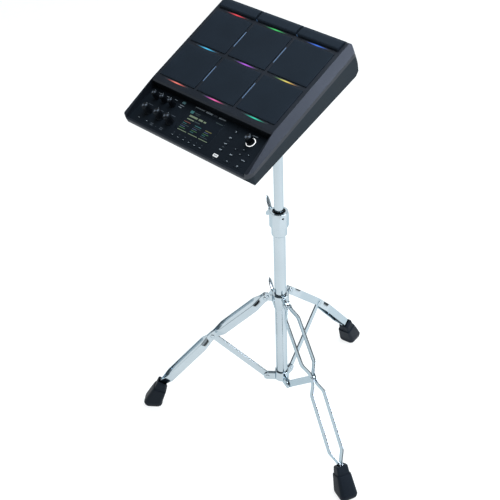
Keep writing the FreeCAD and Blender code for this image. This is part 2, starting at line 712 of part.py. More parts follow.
# ---- pole, column and collar ----
def pole_tube():
    return pipe(POLE_R, POLE_R - POLE_WALL, Vector(0, 0, POLE_LOW), Vector(0, 0, POLE_TOP))


def column_tube():
    return pipe(TUBE_R, TUBE_R - TUBE_WALL, Vector(0, 0, TUBE_LOW), Vector(0, 0, TUBE_TOP))


def column_collar():
    """Clamp block on a round sleeve, with a boss for its wing bolt."""
    corner_r = COLLAR_FLATS / 2 / math.cos(math.radians(22.5))
    corners = [radial(BOLT_AZIMUTH + 22.5 + 45 * k) * corner_r + Vector(0, 0, COLLAR_STEP) for k in range(8)]
    head = prism(corners, Vector(0, 0, COLLAR_TOP - COLLAR_STEP))
    head = head.common(cone(corner_r + 6, corner_r - 2, Vector(0, 0, COLLAR_STEP), Vector(0, 0, COLLAR_TOP)))
    sleeve = rod(COLLAR_SLEEVE_R, Vector(0, 0, COLLAR_LOW + 3), Vector(0, 0, COLLAR_STEP))
    skirt = cone(TUBE_R + 1.2, COLLAR_SLEEVE_R, Vector(0, 0, COLLAR_LOW), Vector(0, 0, COLLAR_LOW + 3))
    out = radial(BOLT_AZIMUTH)
    centre = Vector(0, 0, COLLAR_BOLT_Z)
    boss = rod(9.0, centre, centre + out * 33)
    body = join([head, sleeve, skirt, boss])
    body = body.cut(rod(TUBE_R, Vector(0, 0, COLLAR_LOW - 1), Vector(0, 0, TUBE_TOP)))
    body = body.cut(rod(BUSH_R, Vector(0, 0, TUBE_TOP), Vector(0, 0, COLLAR_TOP + 1)))
    body = body.cut(rod(4.05, centre, centre + out * 40))
    screw = Vector(0, 0, SET_SCREW_Z)
    return body.cut(rod(2.6, screw - out * 16.2, screw - out * 30))


def collar_bush():
    """Split nylon bush that the pole slides in, with a toothed top edge."""
    low = Vector(0, 0, TUBE_TOP)
    body = pipe(BUSH_R, POLE_R + RUN_FIT, low, Vector(0, 0, COLLAR_TOP - 3))
    teeth = [block(-2.2, 2.2, 0, 20, COLLAR_TOP - 7, COLLAR_TOP) for _ in range(8)]
    for k, tooth in enumerate(teeth):
        tooth.rotate(Vector(0, 0, 0), Z_AXIS, 45 * k + 10)
    hole = rod(4.2, Vector(0, 0, COLLAR_BOLT_Z), Vector(0, 0, COLLAR_BOLT_Z) + radial(BOLT_AZIMUTH) * 20)
    return body.cut(teeth).cut(hole)


def hub_bolt_centre():
    return Vector(0, 0, (HUB_LOW + HUB_TOP) / 2)


def collar_wing_bolt():
    out = radial(BOLT_AZIMUTH)
    centre = Vector(0, 0, COLLAR_BOLT_Z)
    return wing_bolt(centre + out * (POLE_R + 0.3), centre + out * 33.3, out, Z_AXIS, 4.0)


def leg_hub_wing_bolt():
    out = radial(BOLT_AZIMUTH)
    centre = hub_bolt_centre()
    return wing_bolt(centre + out * (TUBE_R + 0.3), centre + out * 31.3, out, Z_AXIS, 4.0)


# ---- tripod ----
def leg_hub():
    """Sliding hub with one ear for each leg and a boss for its wing bolt."""
    ring = rod(HUB_R, Vector(0, 0, HUB_LOW + 18), Vector(0, 0, HUB_TOP))
    skirt = cone(TUBE_R + 2.2, HUB_R, Vector(0, 0, HUB_LOW), Vector(0, 0, HUB_LOW + 18))
    shapes = [ring, skirt]
    for azimuth in LEGS.values():
        across = Z_AXIS.cross(radial(azimuth))
        shapes.append(flat_bar(leg_point(azimuth, 14, HUB_Z - 2), leg_point(azimuth, PIVOT_R, HUB_Z),
                               EAR_R - 0.5, across, 2 * EAR_HALF))
    centre = hub_bolt_centre()
    out = radial(BOLT_AZIMUTH)
    shapes.append(rod(9.0, centre, centre + out * 31))
    body = join(shapes).cut(rod(TUBE_R + HUB_SLIDE, Vector(0, 0, HUB_LOW - 1), Vector(0, 0, HUB_TOP + 1)))
    body = body.cut(rod(4.05, centre, centre + out * 40))
    pins = [rod(PIN_R, leg_point(a, PIVOT_R, HUB_Z, -20), leg_point(a, PIVOT_R, HUB_Z, 20)) for a in LEGS.values()]
    return body.cut(pins)


def headed_pin(azimuth, r, z, grip):
    """Rivet across a leg's plane whose heads sit outside the grip."""
    shank = rod(PIN_R, leg_point(azimuth, r, z, -grip), leg_point(azimuth, r, z, grip))
    heads = [cone(PIN_HEAD_R, PIN_HEAD_R - 1.5, leg_point(azimuth, r, z, s * grip),
                  leg_point(azimuth, r, z, s * (grip + PIN_HEAD_T))) for s in (-1, 1)]
    return join([shank] + heads)


def leg_hub_pins():
    grip = EAR_HALF + SIDE_FIT + STRIP_T + SIDE_FIT
    return [headed_pin(azimuth, PIVOT_R, HUB_Z, grip) for azimuth in LEGS.values()]


def brace_hub():
    """Cup that closes the column's foot, with a clevis for each brace."""
    cup = rod(CUP_R, Vector(0, 0, CUP_LOW + 3), Vector(0, 0, CUP_TOP))
    dish = cone(CUP_R - 5, CUP_R, Vector(0, 0, CUP_LOW), Vector(0, 0, CUP_LOW + 3))
    shapes = [cup, dish]
    offset = BRACE_T / 2 + SIDE_FIT + CLEVIS_T / 2
    for azimuth in LEGS.values():
        across = Z_AXIS.cross(radial(azimuth))
        for s in (-1, 1):
            shapes.append(flat_bar(leg_point(azimuth, 10, BRACE_Z, s * offset),
                                   leg_point(azimuth, PIVOT_R, BRACE_Z, s * offset), 10.0, across, CLEVIS_T))
    body = join(shapes).cut(rod(TUBE_R, Vector(0, 0, TUBE_LOW), Vector(0, 0, CUP_TOP + 1)))
    pins = [rod(PIN_R, leg_point(a, PIVOT_R, BRACE_Z, -20), leg_point(a, PIVOT_R, BRACE_Z, 20))
            for a in LEGS.values()]
    return body.cut(pins)


def brace_hub_pins():
    grip = BRACE_T / 2 + SIDE_FIT + CLEVIS_T
    return [headed_pin(azimuth, PIVOT_R, BRACE_Z, grip) for azimuth in LEGS.values()]


def brace(azimuth):
    """Flat strap from the lower hub to the leg's middle pivot."""
    r, z = mid_pivot()
    across = Z_AXIS.cross(radial(azimuth))
    strap = flat_bar(leg_point(azimuth, PIVOT_R, BRACE_Z), leg_point(azimuth, r, z), BRACE_W / 2, across, BRACE_T)
    holes = [rod(PIN_R + RUN_FIT, leg_point(azimuth, hr, hz, -20), leg_point(azimuth, hr, hz, 20))
             for hr, hz in ((PIVOT_R, BRACE_Z), (r, z))]
    return strap.cut(holes)


def strip_half(azimuth, start, end, path, side):
    """Half of a leg strip: a bent flat bar that follows (distance, offset) points."""
    along = (leg_point(azimuth, *end) - leg_point(azimuth, *start)).normalize()
    across = Z_AXIS.cross(radial(azimuth)) * side
    width = along.cross(across).normalize() * STRIP_W
    origin = leg_point(azimuth, *start) - width / 2
    inner = [origin + along * s + across * w for s, w in path]
    outer = [origin + along * s + across * (w + STRIP_T) for s, w in reversed(path)]
    return prism(inner + outer, width)


def leg_strip(azimuth, side):
    """One of the two bent strips of a leg, with round ends at its pivots."""
    at_hub = EAR_HALF + SIDE_FIT
    at_brace = BRACE_T / 2 + SIDE_FIT
    wide = STRIP_SPREAD - STRIP_T / 2
    r, z = mid_pivot()
    foot = strip_end()
    upper = [(0, at_hub), (11, at_hub), (36, wide), (LINK - 37, wide), (LINK - 12, at_brace), (LINK, at_brace)]
    lower = [(0, at_brace), (12, at_brace), (37, wide), (LOWER_L - 42, wide), (LOWER_L - 14, at_brace - 1),
             (LOWER_L, at_brace - 1)]
    across = Z_AXIS.cross(radial(azimuth))
    shapes = [strip_half(azimuth, (PIVOT_R, HUB_Z), (r, z), upper, side),
              strip_half(azimuth, (r, z), foot, lower, side)]
    for (pr, pz), inner in (((PIVOT_R, HUB_Z), at_hub), ((r, z), at_brace)):
        start = leg_point(azimuth, pr, pz, side * inner)
        shapes.append(rod(STRIP_W / 2, start, start + across * (side * STRIP_T)))
    top_hole = rod(PIN_R + RUN_FIT, leg_point(azimuth, PIVOT_R, HUB_Z, -20), leg_point(azimuth, PIVOT_R, HUB_Z, 20))
    mid_hole = rod(PIN_R, leg_point(azimuth, r, z, -20), leg_point(azimuth, r, z, 20))
    return join(shapes).cut([top_hole, mid_hole])


def leg(azimuth):
    """Two strips and the rivet that holds the brace between them."""
    r, z = mid_pivot()
    rivet = headed_pin(azimuth, r, z, BRACE_T / 2 + SIDE_FIT + STRIP_T)
    return [leg_strip(azimuth, -1), leg_strip(azimuth, 1), rivet]


def boot_section(azimuth, r, z, half_r, half_side, lean):
    """Rectangle across a rubber foot, leaning from the horizontal."""
    out = radial(azimuth) * math.cos(math.radians(lean)) + Z_AXIS * math.sin(math.radians(lean))
    across = Z_AXIS.cross(radial(azimuth))
    centre = leg_point(azimuth, r, z)
    corners = [centre + out * (a * half_r) + across * (b * half_side)
               for a, b in ((-1, -1), (1, -1), (1, 1), (-1, 1))]
    return Part.makePolygon(corners + [corners[0]])


def foot(azimuth):
    """Rubber foot: a collar round the strips, a step and a flared block with a flat sole."""
    end_r, end_z = strip_end()
    stages = [((end_r - 4, end_z + 8, 12.9, 14.5, 30), (end_r + 3, end_z - 12, 15.0, 16.3, 22)),
              ((end_r + 3, end_z - 12, 17.3, 18.6, 22), (SOLE_R + 1, 14, 24.5, 23.0, 0)),
              ((SOLE_R + 1, 14, 24.5, 23.0, 0), (SOLE_R + 1, 5, 22.8, 21.5, 0)),
              ((SOLE_R + 1, 5, 22.8, 21.5, 0), (SOLE_R, 0, 18.0, 17.5, 0))]
    body = join([Part.makeLoft([boot_section(azimuth, *end) for end in stage], True, True) for stage in stages])
    space = [prism_round_strips(azimuth)]
    return body.cut(space)


def prism_round_strips(azimuth):
    """Both strips' ends as one shape, to seat them in the foot."""
    return Part.makeCompound([leg_strip(azimuth, -1), leg_strip(azimuth, 1)])


# ---- assembly ----
def pad_nodes():
    nodes = {
        "bottom_case": bottom_case(), "top_case": top_case(), "control_panel": control_panel(),
        "display_window": display_window(), "display_module": display_module(),
        "panel_circuit_board": panel_circuit_board(), "main_circuit_board": main_circuit_board(),
        "sensor_base_plate": sensor_base_plate(), "pad_sensors": pad_sensors(), "main_pads": main_pads(),
        "edge_pads": edge_pads(), "pad_light_guides": pad_light_guides(),
        "divider_light_guides": divider_light_guides(), "rear_panel": rear_panel(), "rear_connectors": rear_connectors(),
        "case_screws": case_screws(), "case_feet": case_feet(), "dial_light_ring": dial_light_ring(),
        "mounting_plate": mounting_plate(), "mounting_bolts": mounting_bolts(),
        "tilter_bracket": tilter_bracket(), "tilter_pivot_bolt": tilter_pivot_bolt(),
        "tilter_wing_nut": tilter_wing_nut(), "value_dial": knob(DIAL, DIAL_R, DIAL_H),
    }
    for k, centre in enumerate(SMALL_KNOBS):
        nodes["level_knob_%d" % (k + 1)] = knob(centre, SMALL_KNOB_R, SMALL_KNOB_H)
    for k, centre in enumerate(LARGE_KNOBS):
        nodes["control_knob_%d" % (k + 1)] = knob(centre, LARGE_KNOB_R, LARGE_KNOB_H)
    for name, group in BUTTONS.items():
        nodes[name] = [button(*one) for one in group]
    return nodes


def stand_nodes():
    nodes = {
        "column_tube": column_tube(), "column_collar": column_collar(), "collar_bush": collar_bush(),
        "collar_wing_bolt": collar_wing_bolt(), "pole_tube": pole_tube(), "tilter_base": tilter_base(),
        "socket_wing_bolt": socket_wing_bolt(), "leg_hub": leg_hub(), "leg_hub_pins": leg_hub_pins(),
        "leg_hub_wing_bolt": leg_hub_wing_bolt(), "brace_hub": brace_hub(), "brace_hub_pins": brace_hub_pins(),
    }
    for name, azimuth in LEGS.items():
        nodes[name + "_leg"] = leg(azimuth)
        nodes[name + "_foot"] = foot(azimuth)
        nodes[name + "_brace"] = brace(azimuth)
    return nodes


def as_shape(part):
    """One solid, or a compound of the separate solids of a group."""
    solids = [s for one in part for s in one.Solids] if isinstance(part, list) else part.Solids
    return solids[0] if len(solids) == 1 else Part.makeCompound(solids)


def footprint_centre(shapes):
    box = FreeCAD.BoundBox()
    for shape in shapes:
        box.add(shape.optimalBoundingBox(False))
    return Vector((box.XMin + box.XMax) / 2, (box.YMin + box.YMax) / 2, 0)


def assembly():
    """Every node in its final place, with the footprint's centre moved to the origin."""
    nodes = {name: as_shape(part) for name, part in stand_nodes().items()}
    for name, part in pad_nodes().items():
        nodes[name] = place_pad(as_shape(part))
    shift = footprint_centre(nodes.values()) * -1
    for shape in nodes.values():
        shape.translate(shift)
    return nodes, shift


def main():
    os.makedirs("parts", exist_ok=True)
    nodes, shift = assembly()
    for name, shape in nodes.items():
        shape.exportStep("parts/%s.step" % name)
    print("nodes", len(nodes), "column axis at x %.3f y %.3f" % (shift.x, shift.y))


if __name__ == "__main__":
    main()
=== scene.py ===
import json
import math

import bmesh
import bpy
from mathutils import Matrix, Vector


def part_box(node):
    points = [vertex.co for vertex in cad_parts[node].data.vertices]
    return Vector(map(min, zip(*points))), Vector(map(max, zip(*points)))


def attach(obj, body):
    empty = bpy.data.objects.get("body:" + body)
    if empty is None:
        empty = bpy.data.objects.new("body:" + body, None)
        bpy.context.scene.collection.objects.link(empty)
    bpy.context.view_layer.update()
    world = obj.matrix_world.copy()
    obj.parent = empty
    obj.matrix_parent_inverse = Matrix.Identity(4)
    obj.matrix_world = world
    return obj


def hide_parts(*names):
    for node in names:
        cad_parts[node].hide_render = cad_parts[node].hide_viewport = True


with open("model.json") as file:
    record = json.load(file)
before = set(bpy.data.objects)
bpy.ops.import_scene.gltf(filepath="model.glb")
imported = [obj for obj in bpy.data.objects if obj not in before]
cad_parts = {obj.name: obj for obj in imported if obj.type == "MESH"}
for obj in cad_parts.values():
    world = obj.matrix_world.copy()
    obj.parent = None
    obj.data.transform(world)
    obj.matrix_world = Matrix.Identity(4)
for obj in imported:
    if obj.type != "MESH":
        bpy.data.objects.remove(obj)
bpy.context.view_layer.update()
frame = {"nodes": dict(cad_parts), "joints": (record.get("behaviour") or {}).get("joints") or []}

# The looks of an electronic percussion pad unit on a folding tripod stand.
# Sizes in the pieces' own frames are in millimetres; MM takes them to Blender's metres.
MM = 0.001
JOINTS = {joint["name"]: joint for joint in frame["joints"]}

# ---- sizes that the frame's boxes don't give ----
TILT = 23.2              # bottom of the case against the floor, degrees
WEDGE = 4.15             # playing face against the bottom of the case, degrees
TOP_H = 61.9             # playing face above the bottom of the case
PIVOT_V = 55.6           # tilt axis in the case's frame
PIVOT_H = -38.6
PANEL_DROP = 21.0        # control panel below the playing face
STRIP_W = 19.0
STRIP_T = 3.0
STRIP_WIDE = 15.0        # inner face of a leg strip off the leg's plane, where it runs free
AT_HUB = 3.75            # the same beside the hub's ear, beside the brace and in the foot
AT_BRACE = 2.25
AT_FOOT = 1.25
LOWER_L = 224.0
END_ANGLE = 40.4
SOLE_R = 341.0
PIVOT_R = 37.0
RECESS_NEAR = -74.5      # the wall between the playing face and the panel lies between these
RECESS_FAR = -68.0
RECESS_LIP = -2.6
CASE_SHARP = 6           # flat walls that meet at more degrees than this keep their edge
RING_IN = 9.1
RING_OUT = 10.7
SCREW_Z = 603.0          # set screw of the collar
SCREW_R = 2.4
WING_TWIST = -60.0       # wings of a wing bolt, turned about their own length, degrees
WING_REACH = 26.0
WING_RISE = 20.0
WING_HALF = 6.6
GLOW_HALF_L = 37.0
GLOW_HALF_W = 1.9
GLOW_POWER = 1.25
HIGHLIGHT_FAN_ANGLE = 30.0         # painted highlight fans on the spun caps, degrees
FLOOR_R = 4.6            # metres


# ---- frames ----
def joint_at(name):
    return Vector(JOINTS[name]["pos_m"])


def turned(angle, axis):
    return Matrix.Rotation(math.radians(angle), 4, axis)


def moved(x, y, z):
    return Matrix.Translation((x, y, z))


SCALE = Matrix.Scale(MM, 4)
CASE = Matrix.Translation(joint_at("pad_tilt")) @ turned(TILT, "X") @ SCALE @ moved(0, -PIVOT_V, -PIVOT_H)
TOP = CASE @ moved(0, 0, TOP_H) @ turned(WEDGE, "X")
PANEL = TOP @ moved(0, 0, -PANEL_DROP)
AXIS = Vector((joint_at("pad_swivel").x, joint_at("pad_swivel").y, 0))
COLUMN = Matrix.Translation(AXIS) @ SCALE
HUB_Z = joint_at("leg_hub_slide").z / MM
BRACE_Z = joint_at("left_brace_fold").z / MM


def axes(origin, x, y, z):
    """Frame with its origin and axes given in metres, for sizes in millimetres."""
    m = Matrix((x, y, z)).transposed().to_4x4()
    m.translation = origin
    return m @ SCALE


def leg_frame(name):
    """Out along a leg, across its plane and up, from the column axis at floor level."""
    out = joint_at(name + "_brace_fold") - AXIS
    out.z = 0
    out.normalize()
    return axes(AXIS, out, Vector((0, 0, 1)).cross(out), Vector((0, 0, 1)))


def solids(node, place):
    """Centre and size of each separate solid of a CAD node, measured in a frame."""
    bm = bmesh.new()
    bm.from_mesh(frame["nodes"][node].data)
    bmesh.ops.remove_doubles(bm, verts=bm.verts, dist=1e-6)
    left, found = set(bm.verts), []
    back = place.inverted()
    while left:
        heap = [left.pop()]
        group = []
        while heap:
            vert = heap.pop()
            group.append(back @ vert.co)
            for edge in vert.link_edges:
                other = edge.other_vert(vert)
                if other in left:
                    left.remove(other)
                    heap.append(other)
        low = Vector([min(p[i] for p in group) for i in range(3)])
        high = Vector([max(p[i] for p in group) for i in range(3)])
        found.append(((low + high) / 2, high - low))
    bm.free()
    return sorted(found, key=lambda s: (round(s[0].y), round(s[0].x)))


# ---- shapes ----
def rect_ring(width, length, corner, z=0.0, steps=5):
    """Rectangle with round corners, as a ring of points."""
    corner = max(min(corner, width / 2, length / 2), 0.02)
    a, b = width / 2 - corner, length / 2 - corner
    ring = []
    for k, (sx, sy) in enumerate(((1, 1), (-1, 1), (-1, -1), (1, -1))):
        for i in range(steps + 1):
            t = math.radians(90 * (k + i / steps))
            ring.append(Vector((sx * a + corner * math.cos(t), sy * b + corner * math.sin(t), z)))
    return ring


def slab_rings(width, length, low, high, corner, edge, crown=0.0):
    """Block with round corners, a rounded upper rim and a crowned or dished top."""
    def ring(inset, z):
        return rect_ring(width - 2 * inset, length - 2 * inset, corner - inset, z)
    rings = [ring(0, low)]
    rim = high - max(crown, 0.0)
    for k in range(5):
        t = math.radians(90 * k / 4)
        rings.append(ring(edge * (1 - math.cos(t)), rim - edge * (1 - math.sin(t))))
    if crown:
        reach = min(width, length) / 2 - edge
        for share in (0.1, 0.3, 0.6, 0.9):
            rings.append(ring(edge + reach * share, rim + crown * (1 - (1 - share) ** 2)))
    return rings


def circle(radius, z=0.0, count=48, wave=0.0, waves=0):
    ring = []
    for k in range(count):
        t = 2 * math.pi * k / count
        r = radius * (1 + wave * math.cos(waves * t))
        ring.append(Vector((r * math.cos(t), r * math.sin(t), z)))
    return ring


class Shape:
    """Points and faces of one piece, gathered skin by skin."""

    def __init__(self):
        self.points = []
        self.faces = []
        self.slots = []

    def face(self, corners, slot):
        self.faces.append(tuple(corners))
        self.slots.append(slot)

    def loft(self, rings, place=SCALE, slot=0, ends=True, loop=False):
        """Skin through rings of equally many points, closed at its ends or joined into a loop."""
        first, n, count = len(self.points), len(rings[0]), len(rings)
        self.points += [place @ point for ring in rings for point in ring]
        for r in range(count if loop else count - 1):
            low, high = first + r * n, first + (r + 1) % count * n
            for k in range(n):
                m = (k + 1) % n
                self.face((low + k, low + m, high + m, high + k), slot)
        if ends and not loop:
            self.face(range(first + n - 1, first - 1, -1), slot)
            self.face(range(first + (count - 1) * n, first + count * n), slot)
        return self

    def spun(self, profile, place=SCALE, slot=0, count=48, loop=False):
        """Turned shape through (radius, height) points."""
        return self.loft([circle(max(r, 0.01), z, count) for r, z in profile], place, slot, not loop, loop)

    def slab(self, centre, width, length, low, high, corner, edge, place, slot=0, crown=0.0):
        rings = slab_rings(width, length, low, high, corner, edge, crown)
        return self.loft(rings, place @ moved(centre[0], centre[1], 0), slot)

    def mesh(self, name, materials, sharp):
        data = bpy.data.meshes.new(name)
        data.from_pydata(self.points, [], self.faces)
        for item in materials:
            data.materials.append(item)
        data.polygons.foreach_set("material_index", self.slots)
        bm = bmesh.new()
        bm.from_mesh(data)
        bmesh.ops.remove_doubles(bm, verts=bm.verts, dist=2e-6)
        bmesh.ops.recalc_face_normals(bm, faces=bm.faces)
        bm.to_mesh(data)
        bm.free()
        return smooth(data, sharp)

    def make(self, name, materials, body, nodes=(), slot=None, sharp=38, origin=None):
        data = self.mesh(name, materials, sharp)
        piece = bpy.data.objects.new(name, data)
        bpy.context.scene.collection.objects.link(piece)
        if origin is not None:
            data.transform(origin.inverted())
            piece.matrix_world = origin
        return settle(piece, body, nodes)


def smooth(data, sharp):
    data.polygons.foreach_set("use_smooth", [True] * len(data.polygons))
    data.set_sharp_from_angle(angle=math.radians(sharp))
    return data


def settle(piece, body, nodes=()):
    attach(piece, body)
    if nodes:
        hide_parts(*nodes)
    return piece


def dress(node, item, width, body, sharp=30, segments=2, shaded=None):
    """A CAD node's shape, shown in its place, with its edges rounded by a width unless that is zero.

    shaded is a test for faces and the darker material, painted shade, that the faces that pass it get.
    """
    bm = bmesh.new()
    bm.from_mesh(frame["nodes"][node].data)
    bmesh.ops.remove_doubles(bm, verts=bm.verts, dist=2e-6)
    if width:
        bmesh.ops.dissolve_limit(bm, angle_limit=math.radians(0.4), verts=bm.verts, edges=bm.edges)
    data = bpy.data.meshes.new(node + "_shape")
    bm.to_mesh(data)
    bm.free()
    data.materials.clear()
    data.materials.append(item)
    data.polygons.foreach_set("material_index", [0] * len(data.polygons))
    if shaded:
        inside, other = shaded
        data.materials.append(other)
        for face in data.polygons:
            face.material_index = int(inside(face.center))
    piece = bpy.data.objects.new(node + "_shape", data)
    bpy.context.scene.collection.objects.link(piece)
    if width:
        bevel = piece.modifiers.new("edges", "BEVEL")
        bevel.width = width * MM
        bevel.segments = segments
        bevel.limit_method = "ANGLE"
        bevel.angle_limit = math.radians(sharp)
        bevel.use_clamp_overlap = False
        bevel.loop_slide = True
    smooth(data, sharp)
    return settle(piece, body, (node,))


# ---- materials ----
def srgb(red, green, blue):
    """Linear colour from 0 to 255 display values."""
    def one(value):
        value /= 255
        return value / 12.92 if value <= 0.04045 else ((value + 0.055) / 1.055) ** 2.4
    return one(red), one(green), one(blue), 1.0


class Graph:
    """Short way to lay out one material's nodes."""

    def __init__(self, name, **constants):
        self.material = bpy.data.materials.new(name)
        self.material.use_nodes = True
        self.tree = self.material.node_tree
        self.shader = self.tree.nodes["Principled BSDF"]
        self.place = self.add("ShaderNodeTexCoord").outputs["Object"]
        for key, value in constants.items():
            self.feed(value, self.shader.inputs[key.replace("_", " ")])

    def add(self, kind, inputs=(), **settings):
        node = self.tree.nodes.new(kind)
        for key, value in settings.items():
            setattr(node, key, value)
        for key, value in dict(inputs).items():
            self.feed(value, node.inputs[key])
        return node

    def feed(self, value, socket):
        if isinstance(value, bpy.types.NodeSocket):
            self.tree.links.new(value, socket)
        else:
            socket.default_value = value

    def to(self, name, value):
        self.tree.links.new(value, self.shader.inputs[name])

    def math(self, operation, a, b=0.0, clamp=False):
        return self.add("ShaderNodeMath", {0: a, 1: b}, operation=operation, use_clamp=clamp).outputs[0]

    def noise(self, scale, detail=3.0, stretch=None):
        place = self.place
        if stretch:
            place = self.add("ShaderNodeMapping", {"Vector": place, "Scale": stretch}).outputs[0]
        return self.add("ShaderNodeTexNoise", {"Vector": place, "Scale": scale, "Detail": detail}).outputs[0]

    def cells(self, scale):
        return self.add("ShaderNodeTexVoronoi", {"Vector": self.place, "Scale": scale}).outputs["Distance"]

    def span(self, value, low, high, start=0.3, end=0.7):
        keys = {"Value": value, "From Min": start, "From Max": end, "To Min": low, "To Max": high}
        return self.add("ShaderNodeMapRange", keys).outputs[0]

    def mix(self, share, a, b):
        return self.add("ShaderNodeMix", {0: share, 6: a, 7: b}, data_type="RGBA").outputs[2]

    def ramp(self, value, stops):
        node = self.add("ShaderNodeValToRGB", {0: value})
        ramp = node.color_ramp
        while len(ramp.elements) < len(stops):
            ramp.elements.new(0.5)
        for element, (position, colour) in zip(ramp.elements, stops):
            element.position = position
            element.color = colour
        return node.outputs[0]

    def bump(self, height, strength, depth):
        node = self.add("ShaderNodeBump", {"Strength": strength, "Distance": depth, "Height": height})
        self.to("Normal", node.outputs[0])

    def xyz(self):
        return self.add("ShaderNodeSeparateXYZ", {0: self.place}).outputs


def finish(name, dark, light, rough, grain, depth, blotch=14.0, cells=False, **constants):
    """Moulded, painted or plated finish: cloudy colour, uneven gloss and a fine grain."""
    g = Graph(name, **constants)
    cloud = g.noise(blotch, 5.0)
    fine = g.cells(grain) if cells else g.noise(grain, 2.0)
    tone = g.math("ADD", g.math("MULTIPLY", cloud, 0.8), g.math("MULTIPLY", fine, 0.2))
    g.to("Base Color", g.mix(g.span(tone, 0.0, 1.0), srgb(*dark), srgb(*light)))
    g.to("Roughness", g.span(cloud, *rough))
    g.bump(fine, 0.6, depth)
    return g.material


def chrome_plate():
    """Polished plate with faint clouding and hairline polishing marks."""
    g = Graph("chrome_plate", Metallic=1.0, Specular_Tint=(0.6, 0.7, 0.75, 1.0))
    cloud = g.noise(9.0, 6.0)
    hair = g.noise(260.0, 2.0, (1.0, 1.0, 0.03))
    g.to("Base Color", g.mix(g.span(cloud, 0.0, 1.0), srgb(184, 196, 203), srgb(194, 205, 211)))
    g.to("Roughness", g.math("ADD", g.span(cloud, 0.05, 0.1), g.math("MULTIPLY", hair, 0.05)))
    g.bump(hair, 0.03, 0.0001)
    return g.material


def glow_bar(name, left, middle, right):
    """Light guide that glows like a lens: brightest in its middle and thin towards both ends."""
    g = Graph(name, Roughness=0.4, Specular_IOR_Level=0.3)
    x, y = g.xyz()[0], g.xyz()[1]
    reach = g.math("DIVIDE", g.math("ABSOLUTE", x), GLOW_HALF_L * MM)
    lens = g.math("SUBTRACT", 1.0, g.math("POWER", reach, 2.0), clamp=True)
    across = g.math("DIVIDE", g.math("ABSOLUTE", y), g.math("MULTIPLY", lens, GLOW_HALF_W * MM))
    band = g.math("SUBTRACT", 1.0, g.math("POWER", across, 2.0), clamp=True)
    level = g.math("MULTIPLY", band, g.math("POWER", lens, 1.5))
    frost = g.span(g.noise(900.0, 2.0), 0.85, 1.1)
    along = g.span(x, 0.0, 1.0, -GLOW_HALF_L * MM, GLOW_HALF_L * MM)
    g.to("Emission Color", g.ramp(along, ((0.1, srgb(*left)), (0.5, srgb(*middle)), (0.9, srgb(*right)))))
    g.to("Emission Strength", g.math("MULTIPLY", g.math("MULTIPLY", level, frost), GLOW_POWER))
    g.to("Base Color", g.mix(frost, srgb(28, 33, 39), srgb(38, 43, 49)))
    return g.material


def steady_glow(name, colour, power, grain=700.0):
    """Evenly lit guide or key."""
    g = Graph(name, Roughness=0.45)
    frost = g.span(g.noise(grain, 2.0), 0.88, 1.08)
    g.to("Emission Color", g.mix(frost, srgb(*[0.9 * c for c in colour]), srgb(*colour)))
    g.to("Emission Strength", g.math("MULTIPLY", frost, power))
    g.to("Base Color", g.mix(frost, srgb(60, 66, 74), srgb(80, 88, 98)))
    return g.material


def lit_ring():
    """Clear ring lit from below, a little brighter towards the player's right."""
    g = Graph("lit_ring", Roughness=0.35)
    x = g.xyz()[0]
    side = g.span(x, 0.8, 1.15, -15 * MM, 15 * MM)
    g.to("Emission Strength", g.math("MULTIPLY", side, g.span(g.noise(500.0), 0.92, 1.05)))
    g.to("Emission Color", g.mix(side, srgb(228, 234, 238), srgb(244, 246, 244)))
    g.to("Base Color", g.mix(side, srgb(190, 195, 200), srgb(220, 222, 224)))
    return g.material


def spun_disc_painted_highlight():
    """Dark metal cap turned on a lathe. Its two bright fans are a painted highlight, so they turn with the
    knob.
    """
    g = Graph("spun_disc_painted_highlight", Metallic=0.4, Roughness=0.42)
    x, y = g.xyz()[0], g.xyz()[1]
    angle = g.math("SUBTRACT", g.math("ARCTAN2", y, x), math.radians(HIGHLIGHT_FAN_ANGLE))
    highlight_fan = g.math("POWER", g.math("ABSOLUTE", g.math("COSINE", angle)), 5.0)
    radius = g.math("SQRT", g.math("ADD", g.math("MULTIPLY", x, x), g.math("MULTIPLY", y, y)))
    rings = g.math("SINE", g.math("MULTIPLY", radius, 22000.0))
    # The lighter colour in the two fans is a painted highlight; the faint rings are lathe marks.
    tone = g.math("ADD", g.math("MULTIPLY", highlight_fan, 0.9), g.math("MULTIPLY", rings, 0.05), clamp=True)
    g.to("Base Color", g.mix(tone, srgb(14, 17, 21), srgb(112, 122, 134)))
    g.bump(rings, 0.12, 0.00003)
    return g.material


def ink_with_painted_glow(name, colour):
    """Printed mark with slightly uneven cover and a faint painted glow."""
    g = Graph(name, Roughness=0.5)
    cover = g.span(g.noise(2500.0, 2.0), 0.0, 1.0)
    g.to("Base Color", g.mix(cover, srgb(*[0.82 * c for c in colour]), srgb(*colour)))
    # The print is given a faint glow of its own colour: painted light, not a lamp.
    g.to("Emission Color", g.mix(cover, srgb(*[0.82 * c for c in colour]), srgb(*colour)))
    g.shader.inputs["Emission Strength"].default_value = 0.05
    return g.material


def screen_light(name, colour, power):
    """Lit part of the display, with its grid of picture cells."""
    g = Graph(name, Roughness=0.3)
    x, y = g.xyz()[0], g.xyz()[1]
    grid = g.math("MULTIPLY", g.math("SINE", g.math("MULTIPLY", x, 9000.0)),
                  g.math("SINE", g.math("MULTIPLY", y, 9000.0)))
    cell = g.span(grid, 0.0, 1.0, -1.0, 1.0)
    g.to("Emission Color", g.mix(cell, srgb(*[0.85 * c for c in colour]), srgb(*colour)))
    g.to("Emission Strength", g.span(grid, 0.85 * power, 1.1 * power, -1.0, 1.0))
    g.to("Base Color", g.mix(grid, srgb(12, 14, 16), srgb(18, 20, 22)))
    return g.material


